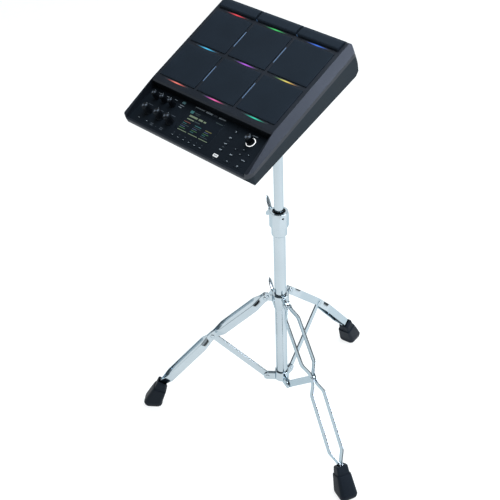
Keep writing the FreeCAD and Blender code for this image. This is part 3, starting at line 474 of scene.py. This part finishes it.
def circuit_board():
    """Solder mask over a pattern of tracks and pads."""
    g = Graph("circuit_board", Roughness=0.4)
    tracks = g.add("ShaderNodeTexBrick", {"Vector": g.place, "Scale": 90.0, "Mortar Size": 0.06,
                                          "Color1": srgb(14, 74, 40), "Color2": srgb(18, 88, 48),
                                          "Mortar": srgb(46, 122, 70)}).outputs[0]
    dots = g.span(g.cells(260.0), 1.0, 0.0, 0.08, 0.14)
    g.to("Base Color", g.mix(dots, tracks, srgb(176, 160, 110)))
    g.bump(dots, 0.3, 0.0002)
    return g.material


# ---- finishes ----
COOL = (0.66, 0.84, 1.0, 1.0)
PAD = finish("pad_rubber_matte", (24, 31, 39), (28, 36, 45), (0.6, 0.72), 2600.0, 0.00005, cells=True,
             Specular_IOR_Level=0.12, Specular_Tint=COOL)
UPPER = finish("upper_case_satin", (20, 25, 32), (24, 29, 37), (0.34, 0.42), 3200.0, 0.00003,
               Specular_IOR_Level=0.6, Specular_Tint=(0.8, 0.88, 1.0, 1.0))
LOWER = finish("lower_case_textured", (25, 33, 38), (31, 40, 46), (0.5, 0.62), 2400.0, 0.00005, cells=True,
               Specular_IOR_Level=0.2, Specular_Tint=COOL)
FACE = finish("panel_satin", (12, 17, 23), (15, 21, 28), (0.42, 0.54), 3000.0, 0.00003,
              Specular_IOR_Level=0.2, Specular_Tint=COOL)
KNOB = finish("knob_black", (8, 10, 14), (12, 15, 20), (0.32, 0.45), 2200.0, 0.00004, Specular_IOR_Level=0.25,
              Specular_Tint=COOL)
BUTTON = finish("button_black", (12, 17, 23), (16, 22, 29), (0.4, 0.52), 3000.0, 0.00003,
                Specular_IOR_Level=0.2, Specular_Tint=COOL)
BOOT = finish("boot_rubber_black", (21, 26, 33), (29, 35, 43), (0.48, 0.62), 1500.0, 0.00008, cells=True,
              Specular_IOR_Level=0.15, Specular_Tint=COOL)
NYLON = finish("nylon_black", (9, 11, 13), (15, 17, 19), (0.4, 0.5), 1800.0, 0.00004)
PAINT = finish("black_steel", (20, 22, 25), (28, 30, 33), (0.38, 0.52), 1400.0, 0.00006)
ZINC = finish("zinc_plate", (168, 174, 178), (196, 200, 202), (0.25, 0.38), 900.0, 0.00004, Metallic=1.0)
BRASS = finish("sensor_brass", (170, 142, 84), (198, 170, 108), (0.3, 0.42), 700.0, 0.00003, Metallic=1.0)
CASING = finish("module_casing", (120, 124, 128), (142, 146, 150), (0.35, 0.5), 800.0, 0.00003, Metallic=0.8)
GLASS = finish("window_glass", (17, 22, 28), (21, 27, 34), (0.14, 0.2), 1200.0, 0.00001,
               Specular_IOR_Level=0.25, Specular_Tint=COOL)
CHROME = chrome_plate()
BOARD = circuit_board()
GREY = ink_with_painted_glow("caption_grey", (142, 152, 160))
DIM = ink_with_painted_glow("caption_dim", (66, 75, 84))
# Darker colour for the wall between the playing face and the panel: painted shade for the shadow that falls
# there.
PAINTED_SHADE = finish("recess_wall_painted_shade", (8, 11, 15), (11, 15, 19), (0.5, 0.6), 3200.0, 0.00003, Specular_IOR_Level=0.1,
               Specular_Tint=COOL)

DISC = spun_disc_painted_highlight()


def at(place, x=0.0, y=0.0, z=0.0):
    """Unscaled frame at a point given in a frame's millimetres."""
    where, turn, _ = (place @ moved(x, y, z)).decompose()
    return Matrix.LocRotScale(where, turn, None)


def blocks(node, place):
    """Centre, width, length, bottom and top of each separate block of a node."""
    return [(c, s.x, s.y, c.z - s.z / 2, c.z + s.z / 2) for c, s in solids(node, place)]


def paint(node, item):
    """Finish for a CAD node that is shown as it is."""
    data = frame["nodes"][node].data
    data.materials.clear()
    data.materials.append(item)


# ---- case ----
def in_recess(point):
    """Whether a point lies on the wall between the playing face and the panel."""
    place = TOP.inverted() @ point
    return RECESS_NEAR < place.y < RECESS_FAR and place.z < RECESS_LIP


# The top case's faces on the recess wall get the darker colour: painted shade.
dress("top_case", UPPER, 0.0, "pad_unit", sharp=CASE_SHARP, shaded=(in_recess, PAINTED_SHADE))
dress("bottom_case", LOWER, 0.0, "pad_unit", sharp=CASE_SHARP)
paint("control_panel", FACE)
dress("rear_panel", PAINT, 0.0, "pad_unit", sharp=CASE_SHARP)
dress("rear_connectors", NYLON, 0.3, "pad_unit")

jack_nuts = Shape()
JACK_U = [c.x for c, s in solids("rear_connectors", CASE) if s.x > 17.0]
for u in JACK_U:
    facing = CASE @ moved(u, 0, 26.5) @ turned(-90, "X")
    jack_nuts.spun([(3.4, 168.6), (6.55, 168.6), (6.55, 170.5), (6.1, 171.1), (3.9, 171.1), (3.4, 170.7)],
                   facing, loop=True)
jack_nuts.make("jack_nuts", [ZINC], "pad_unit", slot="zinc_steel")

feet = Shape()
for c, w, _, low, high in blocks("case_feet", CASE):
    r = w / 2
    feet.spun([(r * 0.55, low + 0.4), (r * 0.6, low), (r - 1.4, low), (r - 0.4, low + 0.4), (r, low + 1.4),
               (r, high)], CASE @ moved(c.x, c.y, 0))
feet.make("case_feet_round", [BOOT], "pad_unit", ["case_feet"], "boot_rubber")

# ---- pads ----
for k, (c, w, l, low, high) in enumerate(blocks("main_pads", TOP)):
    pad = Shape().slab(c, w, l, low, high, 2.0, 1.1, TOP, crown=0.35)
    pad.make("main_pad_%d" % (k + 1), [PAD], "pad_unit", ["main_pads"], "pad_rubber")
dress("edge_pads", PAD, 1.3, "pad_unit", segments=3)

# ---- lights ----
# Left end, middle and right end of each bar: the lower row's three, then the upper row's and the edge row's.
BAR_COLOURS = [((110, 24, 26), (240, 122, 104), (190, 70, 56)),
               ((110, 50, 160), (235, 92, 168), (150, 40, 80)),
               ((14, 90, 88), (40, 205, 170), (20, 110, 84)),
               ((10, 80, 120), (70, 195, 240), (20, 110, 150)),
               ((70, 36, 120), (180, 84, 225), (140, 56, 170)),
               ((60, 160, 90), (225, 205, 92), (190, 120, 54)),
               ((110, 16, 36), (240, 66, 76), (150, 36, 54)),
               ((20, 100, 56), (60, 200, 96), (24, 120, 66)),
               ((24, 44, 120), (54, 108, 222), (30, 66, 150))]
for k, (c, w, l, low, high) in enumerate(blocks("pad_light_guides", TOP)):
    bar = Shape().slab(c, w, l, low, high, 1.8, 0.3, TOP)
    bar.make("light_bar_%d" % (k + 1), [glow_bar("glow_%d" % (k + 1), *BAR_COLOURS[k])], "pad_unit",
             ["pad_light_guides"], "light_guide", origin=at(TOP, c.x, c.y, high))

DIVIDER = steady_glow("divider_glow", (84, 132, 186), 0.55)
for k, (c, w, l, low, high) in enumerate(blocks("divider_light_guides", TOP)):
    line = Shape().slab(c, w, l, low, high, 0.4, 0.25, TOP)
    line.make("divider_light_%d" % (k + 1), [DIVIDER], "pad_unit", ["divider_light_guides"], "light_guide",
              origin=at(TOP, c.x, c.y, high))
gap_lights = Shape()
for side in (-1, 1):
    gap_lights.slab((side * 58.45, 158.0), 1.8, 7.0, -14.0, 1.0, 0.4, 0.3, TOP)
gap_lights.make("gap_lights", [DIVIDER], "pad_unit", slot="light_guide", origin=at(TOP, 0, 158.0, 1.0))


# ---- display ----
def flat_marks(shape, marks, place, low, high):
    """Thin printed or lit bars: (u, v, width, length, material index)."""
    for u, v, w, l, slot in marks:
        shape.slab((u, v), w, l, low, high, min(w, l) * 0.2, 0.01, place, slot)


def picture_marks():
    """Generic screen: a header, two lines, three columns of fields and a footer of keys."""
    marks = [(-42.5, -90.8, 9.5, 6.6, 1), (-27.0, -89.6, 16.0, 1.6, 0), (-25.0, -92.8, 12.0, 1.2, 0),
             (38.0, -89.4, 20.0, 1.6, 0), (-30.0, -100.0, 24.0, 4.2, 2), (-8.0, -100.0, 12.0, 4.2, 2),
             (4.5, -100.2, 7.0, 3.6, 2), (-32.0, -108.0, 20.0, 2.4, 2), (-12.0, -108.0, 16.0, 2.4, 0)]
    columns = ((-31.0, 27.0, 3), (1.5, 26.0, 4), (32.5, 25.0, 5))
    for u, w, tint in columns:
        marks.append((u - w * 0.12, -115.6, w * 0.72, 1.8, tint))
        for row in range(4):
            k = (row + tint) % 4
            share = (0.8, 0.5, 0.66, 0.4)[k]
            marks.append((u - w * (1 - share) / 2, -119.8 - 4.0 * row, w * share, 1.4, (0, 6, 7, 4)[k]))
    marks += [(-31.0, -137.6, 27.0, 1.5, 2), (1.5, -137.6, 27.0, 1.5, 2), (32.5, -137.6, 26.0, 1.5, 2)]
    return marks


(c, w, l, low, high), = blocks("display_window", TOP)
window = Shape().slab(c, w, l, low, high, 0.6, 0.25, TOP)
window.make("display_glass", [GLASS], "pad_unit", ["display_window"], "screen_glass")
SCREEN_TINTS = [("dim", (70, 88, 92), 0.6), ("teal", (62, 122, 124), 0.8), ("pale", (140, 160, 132), 0.75),
                ("red", (130, 76, 70), 0.7), ("cyan", (60, 124, 128), 0.7), ("yellow", (132, 130, 78), 0.7),
                ("blue", (84, 100, 138), 0.7), ("green", (80, 130, 84), 0.7)]
PICTURE = [screen_light("screen_" + tint, colour, power) for tint, colour, power in SCREEN_TINTS]
picture = Shape()
flat_marks(picture, picture_marks(), PANEL, -0.02, 0.05)
picture.make("display_picture", PICTURE, "pad_unit", slot="screen", origin=at(PANEL, c.x, c.y))

# ---- marks printed on the panel ----
captions = [(-152.0, -82.5, 10.0, 1.5, 0), (-126.0, -82.5, 10.0, 1.5, 0), (-102.0, -81.5, 10.0, 1.5, 0),
            (-78.5, -79.8, 10.0, 5.4, 1), (-78.3, -87.5, 12.0, 1.5, 0), (-80.0, -92.5, 9.0, 1.5, 0),
            (-151.0, -115.5, 14.0, 1.4, 2), (-112.0, -117.5, 8.0, 1.3, 2), (-77.0, -116.7, 12.0, 1.4, 2),
            (-110.0, -152.8, 9.0, 2.0, 2), (-110.0, -156.4, 9.0, 2.4, 2), (-96.3, -155.6, 3.0, 1.4, 2),
            (-80.0, -152.8, 9.0, 2.0, 2), (-80.0, -156.4, 9.0, 2.4, 2), (134.3, -80.6, 15.0, 1.4, 0),
            (86.7, -114.4, 6.0, 0.7, 2), (86.7, -130.3, 6.0, 0.7, 2), (87.0, -162.0, 6.0, 0.8, 2),
            (-31.2, -76.8, 28.0, 2.2, 0), (-3.0, -77.0, 20.0, 3.8, 0), (15.6, -77.2, 11.0, 3.4, 2),
            (36.0, -77.0, 20.0, 2.8, 0)]
captions += [(-43.5 + 16.85 * k, -148.4, 3.0, 0.8, 2) for k in range(6)]
printed = Shape()
flat_marks(printed, captions, PANEL, -0.02, 0.04)
printed.make("panel_captions", [GREY, ink_with_painted_glow("caption_teal", (96, 138, 144)), DIM], "pad_unit",
             slot="panel_face", origin=at(PANEL))


# ---- knobs ----
def turn_knob(name, ridges, cap):
    """Ridged knob with a foot, a spun metal cap with a painted highlight, and a pointer line."""
    (c, w, _, low, high), = blocks(name, TOP)
    place, r = TOP @ moved(c.x, c.y, 0), w / 2
    base = -PANEL_DROP + 0.3
    lift = high - base
    shape = Shape()
    shape.spun([(3.0, low), (3.0, base + 1.0)], place)
    rings = [circle(r * 0.97, base, 144), circle(r, base + 0.4, 144), circle(r, base + 1.8, 144),
             circle(r * 0.95, base + 2.4, 144)]
    for share, size in ((0.22, 0.93), (0.55, 0.905), (0.84, 0.875)):
        rings.append(circle(r * size, base + lift * share, 144, 0.028, ridges))
    rings += [circle(r * size, high - drop, 144) for size, drop in ((0.85, 0.9), (0.82, 0.3), (0.76, 0.0))]
    rings += [circle(r * cap, high, 144), circle(r * cap - 0.25, high - 0.35, 144)]
    shape.loft(rings, place)
    shape.spun([(r * cap - 0.3, high - 0.4), (r * cap - 0.3, high - 0.2), (r * cap - 0.7, high - 0.12),
                (0.3, high - 0.08)], place, 1)
    shape.slab((0, r * 0.8), 0.9, r * 0.12, high - 1.0, high + 0.0, 0.2, 0.05, place, 2)
    shape.slab((0, r * 0.885), 0.9, 0.5, base + lift * 0.7, high - 0.9, 0.1, 0.05, place, 2)
    return shape.make(name + "_shape", [KNOB, DISC, GREY], name, [name], "knob_plastic",
                      origin=at(TOP, c.x, c.y, base))


for k in (1, 2, 3):
    turn_knob("level_knob_%d" % k, 18, 0.66)
    turn_knob("control_knob_%d" % k, 24, 0.68)
turn_knob("value_dial", 36, 0.7)

(c, _, _, low, high), = blocks("dial_light_ring", TOP)
crest = (RING_IN + RING_OUT) / 2
ring = Shape().spun([(RING_IN, low), (RING_OUT, low), (RING_OUT, high - 0.5), (RING_OUT - 0.2, high - 0.1),
                     (crest, high), (RING_IN + 0.2, high - 0.1), (RING_IN, high - 0.5)],
                    TOP @ moved(c.x, c.y, 0), count=96, loop=True)
ring.make("dial_ring_light", [lit_ring()], "pad_unit", ["dial_light_ring"], "lit_plastic",
          origin=at(TOP, c.x, c.y, high))


# ---- buttons ----
def key_caps(name, icons, materials, slot="button_plastic"):
    """Dished keys of one group; icons holds each key's marks as (du, dv, width, length)."""
    shape = Shape()
    keys = blocks(name, TOP)
    for (c, w, l, low, high), marks in zip(keys, icons * len(keys)):
        shape.slab(c, w, l, low, high, 1.2, 0.45, TOP, crown=-0.3)
        for du, dv, mw, ml in marks:
            corner = min(mw, ml) * 0.25
            shape.slab((c.x + du, c.y + dv), mw, ml, high - 0.4, high - 0.16, corner, 0.03, TOP, 1)
    return shape.make(name + "_caps", materials, name, [name], slot,
                      origin=at(TOP, keys[0][0].x, keys[0][0].y, keys[0][4]))


BARS = [(0.0, 0.0, 3.8, 1.1)]
WIDE_BARS = [(-0.2, 0.4, 7.0, 1.2), (-1.2, -1.2, 4.6, 0.6)]
DOT = [(0.0, 0.0, 1.9, 1.7)]
key_caps("function_buttons", [BARS], [BUTTON, GREY])
key_caps("quick_button", [[(0.0, 0.2, 2.6, 2.6), (0.0, -2.0, 1.4, 0.7)]], [BUTTON, GREY])
key_caps("menu_buttons", [WIDE_BARS], [BUTTON, GREY])
key_caps("arrow_buttons", [DOT], [BUTTON, GREY])
key_caps("exit_button", [WIDE_BARS], [BUTTON, GREY])
key_caps("enter_button", [[(0.0, 0.2, 9.0, 1.3)]], [BUTTON, GREY])
key_caps("minus_button", [[(0.0, 0.0, 4.6, 1.1)]], [BUTTON, GREY])
key_caps("plus_button", [[(0.0, 0.0, 4.6, 1.2), (0.0, 0.0, 1.2, 4.6)]], [BUTTON, GREY])
LIT = steady_glow("key_glow", (236, 240, 240), 0.9, grain=900.0)
key_caps("lit_button", [[(-2.6, 0.0, 2.4, 2.6), (0.6, 0.0, 1.6, 2.6), (3.2, 0.0, 1.8, 2.6)]],
         [LIT, ink_with_painted_glow("glyph_dark", (30, 34, 38))], "lit_plastic")

# ---- inside and underside ----
for node, item in (("display_module", CASING), ("panel_circuit_board", BOARD), ("main_circuit_board", BOARD),
                   ("sensor_base_plate", ZINC), ("pad_sensors", BRASS), ("case_screws", ZINC)):
    paint(node, item)
dress("mounting_plate", PAINT, 0.6, "pad_unit")
dress("mounting_bolts", ZINC, 0.4, "pad_unit")
dress("tilter_bracket", PAINT, 0.7, "pad_unit")
dress("tilter_pivot_bolt", ZINC, 0.5, "pad_unit")
dress("tilter_base", CHROME, 0.9, "tilter")


# ---- tubes, collar and hubs ----
def tube(name, radius, wall, body):
    low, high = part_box(name)
    low, high = low.z / MM, high.z / MM
    inner = radius - wall
    profile = [(inner, low), (radius - 0.5, low), (radius, low + 0.6), (radius, high - 0.6),
               (radius - 0.5, high), (inner + 0.3, high), (inner, high - 0.4)]
    Shape().spun(profile, COLUMN, count=96, loop=True).make(name + "_shape", [CHROME], body, [name], "chrome")


tube("pole_tube", 11.1, 1.6, "pole")
tube("column_tube", 14.3, 2.0, "column")
dress("column_collar", CHROME, 0.4, "column", sharp=15)
dress("collar_bush", NYLON, 0.3, "column")
FRONT = leg_frame("front")
set_screw = Shape().spun([(0.3, 16.4), (SCREW_R, 16.4), (SCREW_R, 20.2), (SCREW_R - 0.3, 20.5), (1.2, 20.5),
                          (1.2, 19.4), (0.3, 19.4)], FRONT @ moved(0, 0, SCREW_Z) @ turned(90, "Y"), count=32)
set_screw.make("collar_set_screw", [NYLON], "column", slot="nylon")
dress("leg_hub", CHROME, 0.8, "leg_hub", segments=3)
dress("brace_hub", CHROME, 0.7, "column", segments=3)


def rivet(shape, centre, axis, grip, place):
    """Domed rivet through a pivot, along an axis given in the frame."""
    side = axis.orthogonal().normalized()
    along = Matrix((side, axis.cross(side), axis)).transposed().to_4x4()
    along.translation = centre
    dome = [(5.4, 0.0), (5.25, 0.25), (4.7, 0.9), (3.8, 1.5), (2.4, 1.85), (0.8, 1.98)]
    ends = [(r, grip + h) for r, h in dome]
    profile = [(r, -h) for r, h in reversed(ends)] + [(3.0, -grip), (3.0, grip)] + ends
    shape.spun(profile, place @ along, count=32)


ACROSS = Vector((0, 1, 0))
LEG_NAMES = ("left", "front", "rear")
hub_pins, brace_pins = Shape(), Shape()
for name in LEG_NAMES:
    place = leg_frame(name)
    rivet(hub_pins, Vector((PIVOT_R, 0, HUB_Z)), ACROSS, 7.0, place)
    rivet(brace_pins, Vector((PIVOT_R, 0, BRACE_Z)), ACROSS, 5.45, place)
hub_pins.make("leg_hub_pins_shape", [CHROME], "leg_hub", ["leg_hub_pins"], "chrome")
brace_pins.make("brace_hub_pins_shape", [CHROME], "column", ["brace_hub_pins"], "chrome")


def wing_bolt(name, body, seat, out, wing, tip, item, slot):
    """Hub with a rounded neck, its shank and two pointed wings, turned about their own length."""
    place = axes(seat, wing.cross(out), wing, out)
    shape = Shape().spun([(7.4, 0.0), (8.0, 0.6), (7.8, 2.0), (6.9, 9.0), (6.4, 13.6), (5.6, 15.3),
                          (3.6, 16.0)], place)
    if tip:
        shape.spun([(3.4, -tip), (4.0, -tip + 0.6), (4.0, 0.6)], place)
    twist = math.radians(WING_TWIST)
    for side in (-1, 1):
        edge, flat = Vector((0, -side * 0.3, 0.954)), Vector((side, 0, 0))
        across = edge * math.cos(twist) + flat * math.sin(twist)
        through = flat * math.cos(twist) - edge * math.sin(twist)
        rings = []
        for k in range(15):
            t = k / 14
            centre = Vector((0, side * (1.5 + WING_REACH * t), 12.0 + WING_RISE * t))
            wide = WING_HALF * math.sqrt(1 - ((t - 0.45) / 0.555) ** 2) + 0.2
            thick = 2.0 * (1 - t) ** 0.5 + 0.6
            rings.append([centre + across * (wide * math.cos(a)) + through * (thick * math.sin(a))
                          for a in (2 * math.pi * j / 20 for j in range(20))])
        shape.loft(rings, place)
    return shape.make(name + "_shape", [item], body, [name], slot, sharp=50)


BOLT_OUT = FRONT.to_3x3().col[0].normalized() * -1
UP = Vector((0, 0, 1))
wing_bolt("collar_wing_bolt", "collar_bolt", AXIS + BOLT_OUT * 0.0333 + UP * joint_at("collar_bolt_turn").z,
          BOLT_OUT, UP, 21.9, CHROME, "chrome")
wing_bolt("leg_hub_wing_bolt", "hub_bolt", AXIS + BOLT_OUT * 0.0313 + UP * joint_at("leg_hub_bolt_turn").z,
          BOLT_OUT, UP, 16.7, CHROME, "chrome")
wing_bolt("socket_wing_bolt", "socket_bolt", AXIS + ACROSS * 0.0253 + UP * joint_at("socket_bolt_turn").z,
          ACROSS, UP, 13.9, CHROME, "chrome")
NUT_SEAT = CASE @ Vector((-18.5, PIVOT_V, PIVOT_H))
CASE_AXES = CASE.to_3x3()
wing_bolt("tilter_wing_nut", "tilt_nut", NUT_SEAT, CASE_AXES.col[0].normalized() * -1,
          CASE_AXES.col[1].normalized(), 0.0, ZINC, "zinc_steel")


# ---- legs, braces and feet ----
def in_leg(place, point):
    """Distance out from the column axis and height of a point, in millimetres."""
    local = place.inverted() @ point
    return Vector((local.x, 0, local.z))


def strip_offset(s, reach):
    """Inner face of a leg strip off the leg's plane, its bends smoothed over a few millimetres."""
    path = [(-20, AT_HUB), (11, AT_HUB), (36, STRIP_WIDE), (reach - 37, STRIP_WIDE), (reach - 12, AT_BRACE),
            (reach + 12, AT_BRACE), (reach + 37, STRIP_WIDE), (reach + LOWER_L - 42, STRIP_WIDE),
            (reach + LOWER_L - 14, AT_FOOT), (reach + LOWER_L + 20, AT_FOOT)]

    def straight(x):
        for (s0, w0), (s1, w1) in zip(path, path[1:]):
            if x <= s1:
                return w0 + (w1 - w0) * (x - s0) / (s1 - s0)
        return AT_FOOT
    return sum(straight(s + d) for d in (-4.5, -3, -1.5, 0, 1.5, 3, 4.5)) / 7


def strip_rings(hub, knee, side):
    """Sections of one bent strip from its round upper end to its lower end in the foot."""
    reach = (knee - hub).length
    upper = (knee - hub).normalized()
    lower = Vector((math.sin(math.radians(END_ANGLE)), 0, -math.cos(math.radians(END_ANGLE))))
    stations = [-9.5 * math.cos(math.radians(a)) for a in range(4, 90, 9)]
    stations += [2.0 * k for k in range(int((reach + LOWER_L) / 2) + 1)]
    rings = []
    for s in stations:
        blend = min(max((s - reach + 6) / 12, 0.0), 1.0)
        along = upper.lerp(lower, blend).normalized()
        centre = hub + upper * s if s < reach else knee + lower * (s - reach)
        half = math.sqrt(max(9.5 ** 2 - s ** 2, 0.3)) if s < 0 else STRIP_W / 2
        width = Vector((along.z, 0, -along.x))
        middle = strip_offset(s, reach) + STRIP_T / 2
        section = rect_ring(2 * half, STRIP_T, 0.8, 0.0, 3)
        rings.append([centre + width * p.x + Vector((0, side * (middle + p.y), 0)) for p in section])
    return rings


def boot_ring(r, z, half_r, half_side, lean, corner):
    tilt = math.radians(lean)
    ring = rect_ring(2 * half_r, 2 * half_side, corner, 0.0, 6)
    return [Vector((r + p.x * math.cos(tilt), p.y, z + p.x * math.sin(tilt))) for p in ring]


def boot_rings(r, z):
    """Rubber foot from the bottom of its slot, over the rim and the step, down to the sole."""
    rings = [boot_ring(r + 0.2, z - 1.0, 10.4, 6.2, 30, 2.5),
             boot_ring(r - 3.6, z + 7.0, 10.8, 6.5, 30, 2.5),
             boot_ring(r - 4.0, z + 7.8, 11.2, 7.0, 30, 3.0),
             boot_ring(r - 4.0, z + 8.0, 12.0, 13.6, 30, 4.5),
             boot_ring(r - 3.7, z + 7.2, 12.8, 14.3, 30, 5.0)]
    for k in range(1, 7):
        t = k / 6
        rings.append(boot_ring(r - 4 + 7 * t, z + 8 - 20 * t, 12.9 + 2.0 * t, 14.4 + 1.8 * t,
                               30 - 8 * t, 5.0))
    rings += [boot_ring(r + 3, z - 12.2, 15.9, 17.1, 22, 5.5),
              boot_ring(r + 3, z - 12.4, 16.9, 18.1, 22, 6.0),
              boot_ring(r + 3.3, z - 13.4, 17.3, 18.5, 22, 6.5)]
    for k in range(1, 11):
        t = k / 10
        rings.append(boot_ring(r + 3 + (SOLE_R + 1 - r - 3) * t, z - 12 - (z - 26) * t, 17.3 + 7.2 * t ** 1.1,
                               18.6 + 4.4 * t ** 1.1, 22 * (1 - t), 6.5 + 4 * t))
    rings += [boot_ring(SOLE_R + 1, 10.0, 24.2, 22.8, 0, 10.5),
              boot_ring(SOLE_R + 0.9, 5.6, 23.2, 21.9, 0, 10.5),
              boot_ring(SOLE_R + 0.6, 2.2, 21.2, 20.2, 0, 10),
              boot_ring(SOLE_R + 0.3, 0.6, 19.4, 18.7, 0, 10),
              boot_ring(SOLE_R, 0.0, 18.0, 17.5, 0, 9)]
    return rings


for name in LEG_NAMES:
    place = leg_frame(name)
    hub = Vector((PIVOT_R, 0, HUB_Z))
    knee = in_leg(place, joint_at(name + "_leg_fold"))
    end = knee + Vector((math.sin(math.radians(END_ANGLE)), 0, -math.cos(math.radians(END_ANGLE)))) * LOWER_L
    for k, side in enumerate((-1, 1)):
        strip = Shape().loft(strip_rings(hub, knee, side), place)
        strip.make("%s_leg_strip_%d" % (name, k + 1), [CHROME], name + "_leg", [name + "_leg"], "chrome")
    pin = Shape()
    rivet(pin, knee, ACROSS, AT_BRACE + STRIP_T, place)
    pin.make(name + "_leg_rivet", [CHROME], name + "_leg", [name + "_leg"], "chrome")
    dress(name + "_brace", CHROME, 0.7, name + "_brace", segments=3)
    boot = Shape().loft(boot_rings(end.x, end.z), place)
    boot.make(name + "_foot_boot", [BOOT], name + "_leg", [name + "_foot"], "boot_rubber", sharp=50)

# ---- floor, light and camera ----
def studio_white():
    """Even white floor, lit a little from within so that it stays clean under the stand."""
    g = Graph("floor_white", Roughness=0.85, Emission_Strength=0.88)
    tone = g.span(g.noise(30.0, 2.0), 0.0, 1.0)
    g.to("Base Color", g.mix(tone, srgb(138, 140, 141), srgb(142, 144, 145)))
    g.to("Emission Color", g.mix(tone, srgb(250, 252, 252), srgb(252, 254, 254)))
    return g.material


ground = Shape().spun([(FLOOR_R, -0.02), (FLOOR_R, 0.0)], Matrix(), count=128)
floor = bpy.data.objects.new("studio_floor", ground.mesh("studio_floor", [studio_white()], 30))
bpy.context.scene.collection.objects.link(floor)


def aim(spot, target):
    return (target - spot).to_track_quat("-Z", "Y")


def soft_light(name, spot, target, size, power, colour):
    """Rectangular studio light."""
    data = bpy.data.lights.new(name, "AREA")
    data.shape = "RECTANGLE"
    data.size, data.size_y = size
    data.energy = power
    data.color = colour
    light = bpy.data.objects.new(name, data)
    light.location = spot
    light.rotation_mode = "QUATERNION"
    light.rotation_quaternion = aim(Vector(spot), Vector(target))
    bpy.context.scene.collection.objects.link(light)
    return light


soft_light("side_light", (3.0, 1.5, 1.72), (0, 0, 0.95), (1.7, 0.6), 48.0, (0.82, 0.86, 1.0))
soft_light("top_light", (0.5, 0.5, 3.4), (0, 0, 0.9), (3.0, 2.4), 132.0, (0.9, 0.95, 1.0))
soft_light("rim_light", (-1.83, 1.64, 2.32), (0, 0, 0.6), (1.5, 1.5), 6.0, (0.95, 0.98, 1.0))

world = bpy.data.worlds.new("studio")
world.use_nodes = True
bpy.context.scene.world = world
tree = world.node_tree
sky = tree.nodes["Background"]
direct = tree.nodes.new("ShaderNodeBackground")
direct.inputs["Color"].default_value = (1.0, 1.0, 1.0, 1.0)
place = tree.nodes.new("ShaderNodeTexCoord")
split = tree.nodes.new("ShaderNodeSeparateXYZ")
tree.links.new(place.outputs["Generated"], split.inputs[0])
height = tree.nodes.new("ShaderNodeMapRange")
height.inputs["From Min"].default_value = -0.2
height.inputs["From Max"].default_value = 1.0
tree.links.new(split.outputs["Z"], height.inputs["Value"])
fall = tree.nodes.new("ShaderNodeValToRGB")
tree.links.new(height.outputs[0], fall.inputs[0])
# Brightness from below the horizon to overhead, as the object sees it. The camera sees plain white.
LEVELS = ((0.0, 0.8), (0.2, 0.7), (0.35, 0.35), (0.6, 0.15), (1.0, 0.12))
while len(fall.color_ramp.elements) < len(LEVELS):
    fall.color_ramp.elements.new(0.5)
for element, (position, level) in zip(fall.color_ramp.elements, LEVELS):
    element.position = position
    element.color = (0.93 * level, 0.97 * level, level, 1.0)


def world_map(value, low, high, start, end):
    node = tree.nodes.new("ShaderNodeMapRange")
    for key, number in (("From Min", start), ("From Max", end), ("To Min", low), ("To Max", high)):
        node.inputs[key].default_value = number
    tree.links.new(value, node.inputs["Value"])
    return node.outputs[0]


def world_math(operation, a, b):
    node = tree.nodes.new("ShaderNodeMath")
    node.operation = operation
    tree.links.new(a, node.inputs[0])
    tree.links.new(b, node.inputs[1])
    return node.outputs[0]


# A dark patch low beyond the player's right, which gives the chrome its dark lines.
toward = world_map(split.outputs["X"], 0.0, 1.0, 0.78, 0.86)
under = world_map(split.outputs["Z"], 1.0, 0.0, 0.05, 0.1)
over = world_map(split.outputs["Z"], 0.0, 1.0, -0.3, -0.26)
patch = world_math("MULTIPLY", world_math("MULTIPLY", toward, under), over)
shade = tree.nodes.new("ShaderNodeMix")
shade.data_type = "RGBA"
shade.inputs[7].default_value = (0.01, 0.012, 0.014, 1.0)
tree.links.new(patch, shade.inputs[0])
tree.links.new(fall.outputs[0], shade.inputs[6])
tree.links.new(shade.outputs[2], sky.inputs["Color"])
rays = tree.nodes.new("ShaderNodeLightPath")
blend = tree.nodes.new("ShaderNodeMixShader")
tree.links.new(rays.outputs["Is Camera Ray"], blend.inputs[0])
tree.links.new(sky.outputs[0], blend.inputs[1])
tree.links.new(direct.outputs[0], blend.inputs[2])
tree.links.new(blend.outputs[0], tree.nodes["World Output"].inputs["Surface"])
bpy.context.scene.view_settings.view_transform = "Standard"

CAM_AZ, CAM_EL, CAM_ROLL = (math.radians(a) for a in (46.91, 34.71, -2.16))
back = Vector((math.sin(CAM_AZ) * math.cos(CAM_EL), -math.cos(CAM_AZ) * math.cos(CAM_EL), math.sin(CAM_EL)))
level = Vector((math.cos(CAM_AZ), math.sin(CAM_AZ), 0))
right = level * math.cos(CAM_ROLL) + back.cross(level) * math.sin(CAM_ROLL)
lens = bpy.data.cameras.new("camera")
lens.lens = 78.86
lens.sensor_width = 36.0
lens.clip_end = 50.0
camera = bpy.data.objects.new("camera", lens)
camera.matrix_world = Matrix((right, back.cross(right), back)).transposed().to_4x4()
camera.location = (1.48242, -1.55585, 1.98627)
bpy.context.scene.collection.objects.link(camera)
bpy.context.scene.camera = camera

bpy.context.view_layer.update()
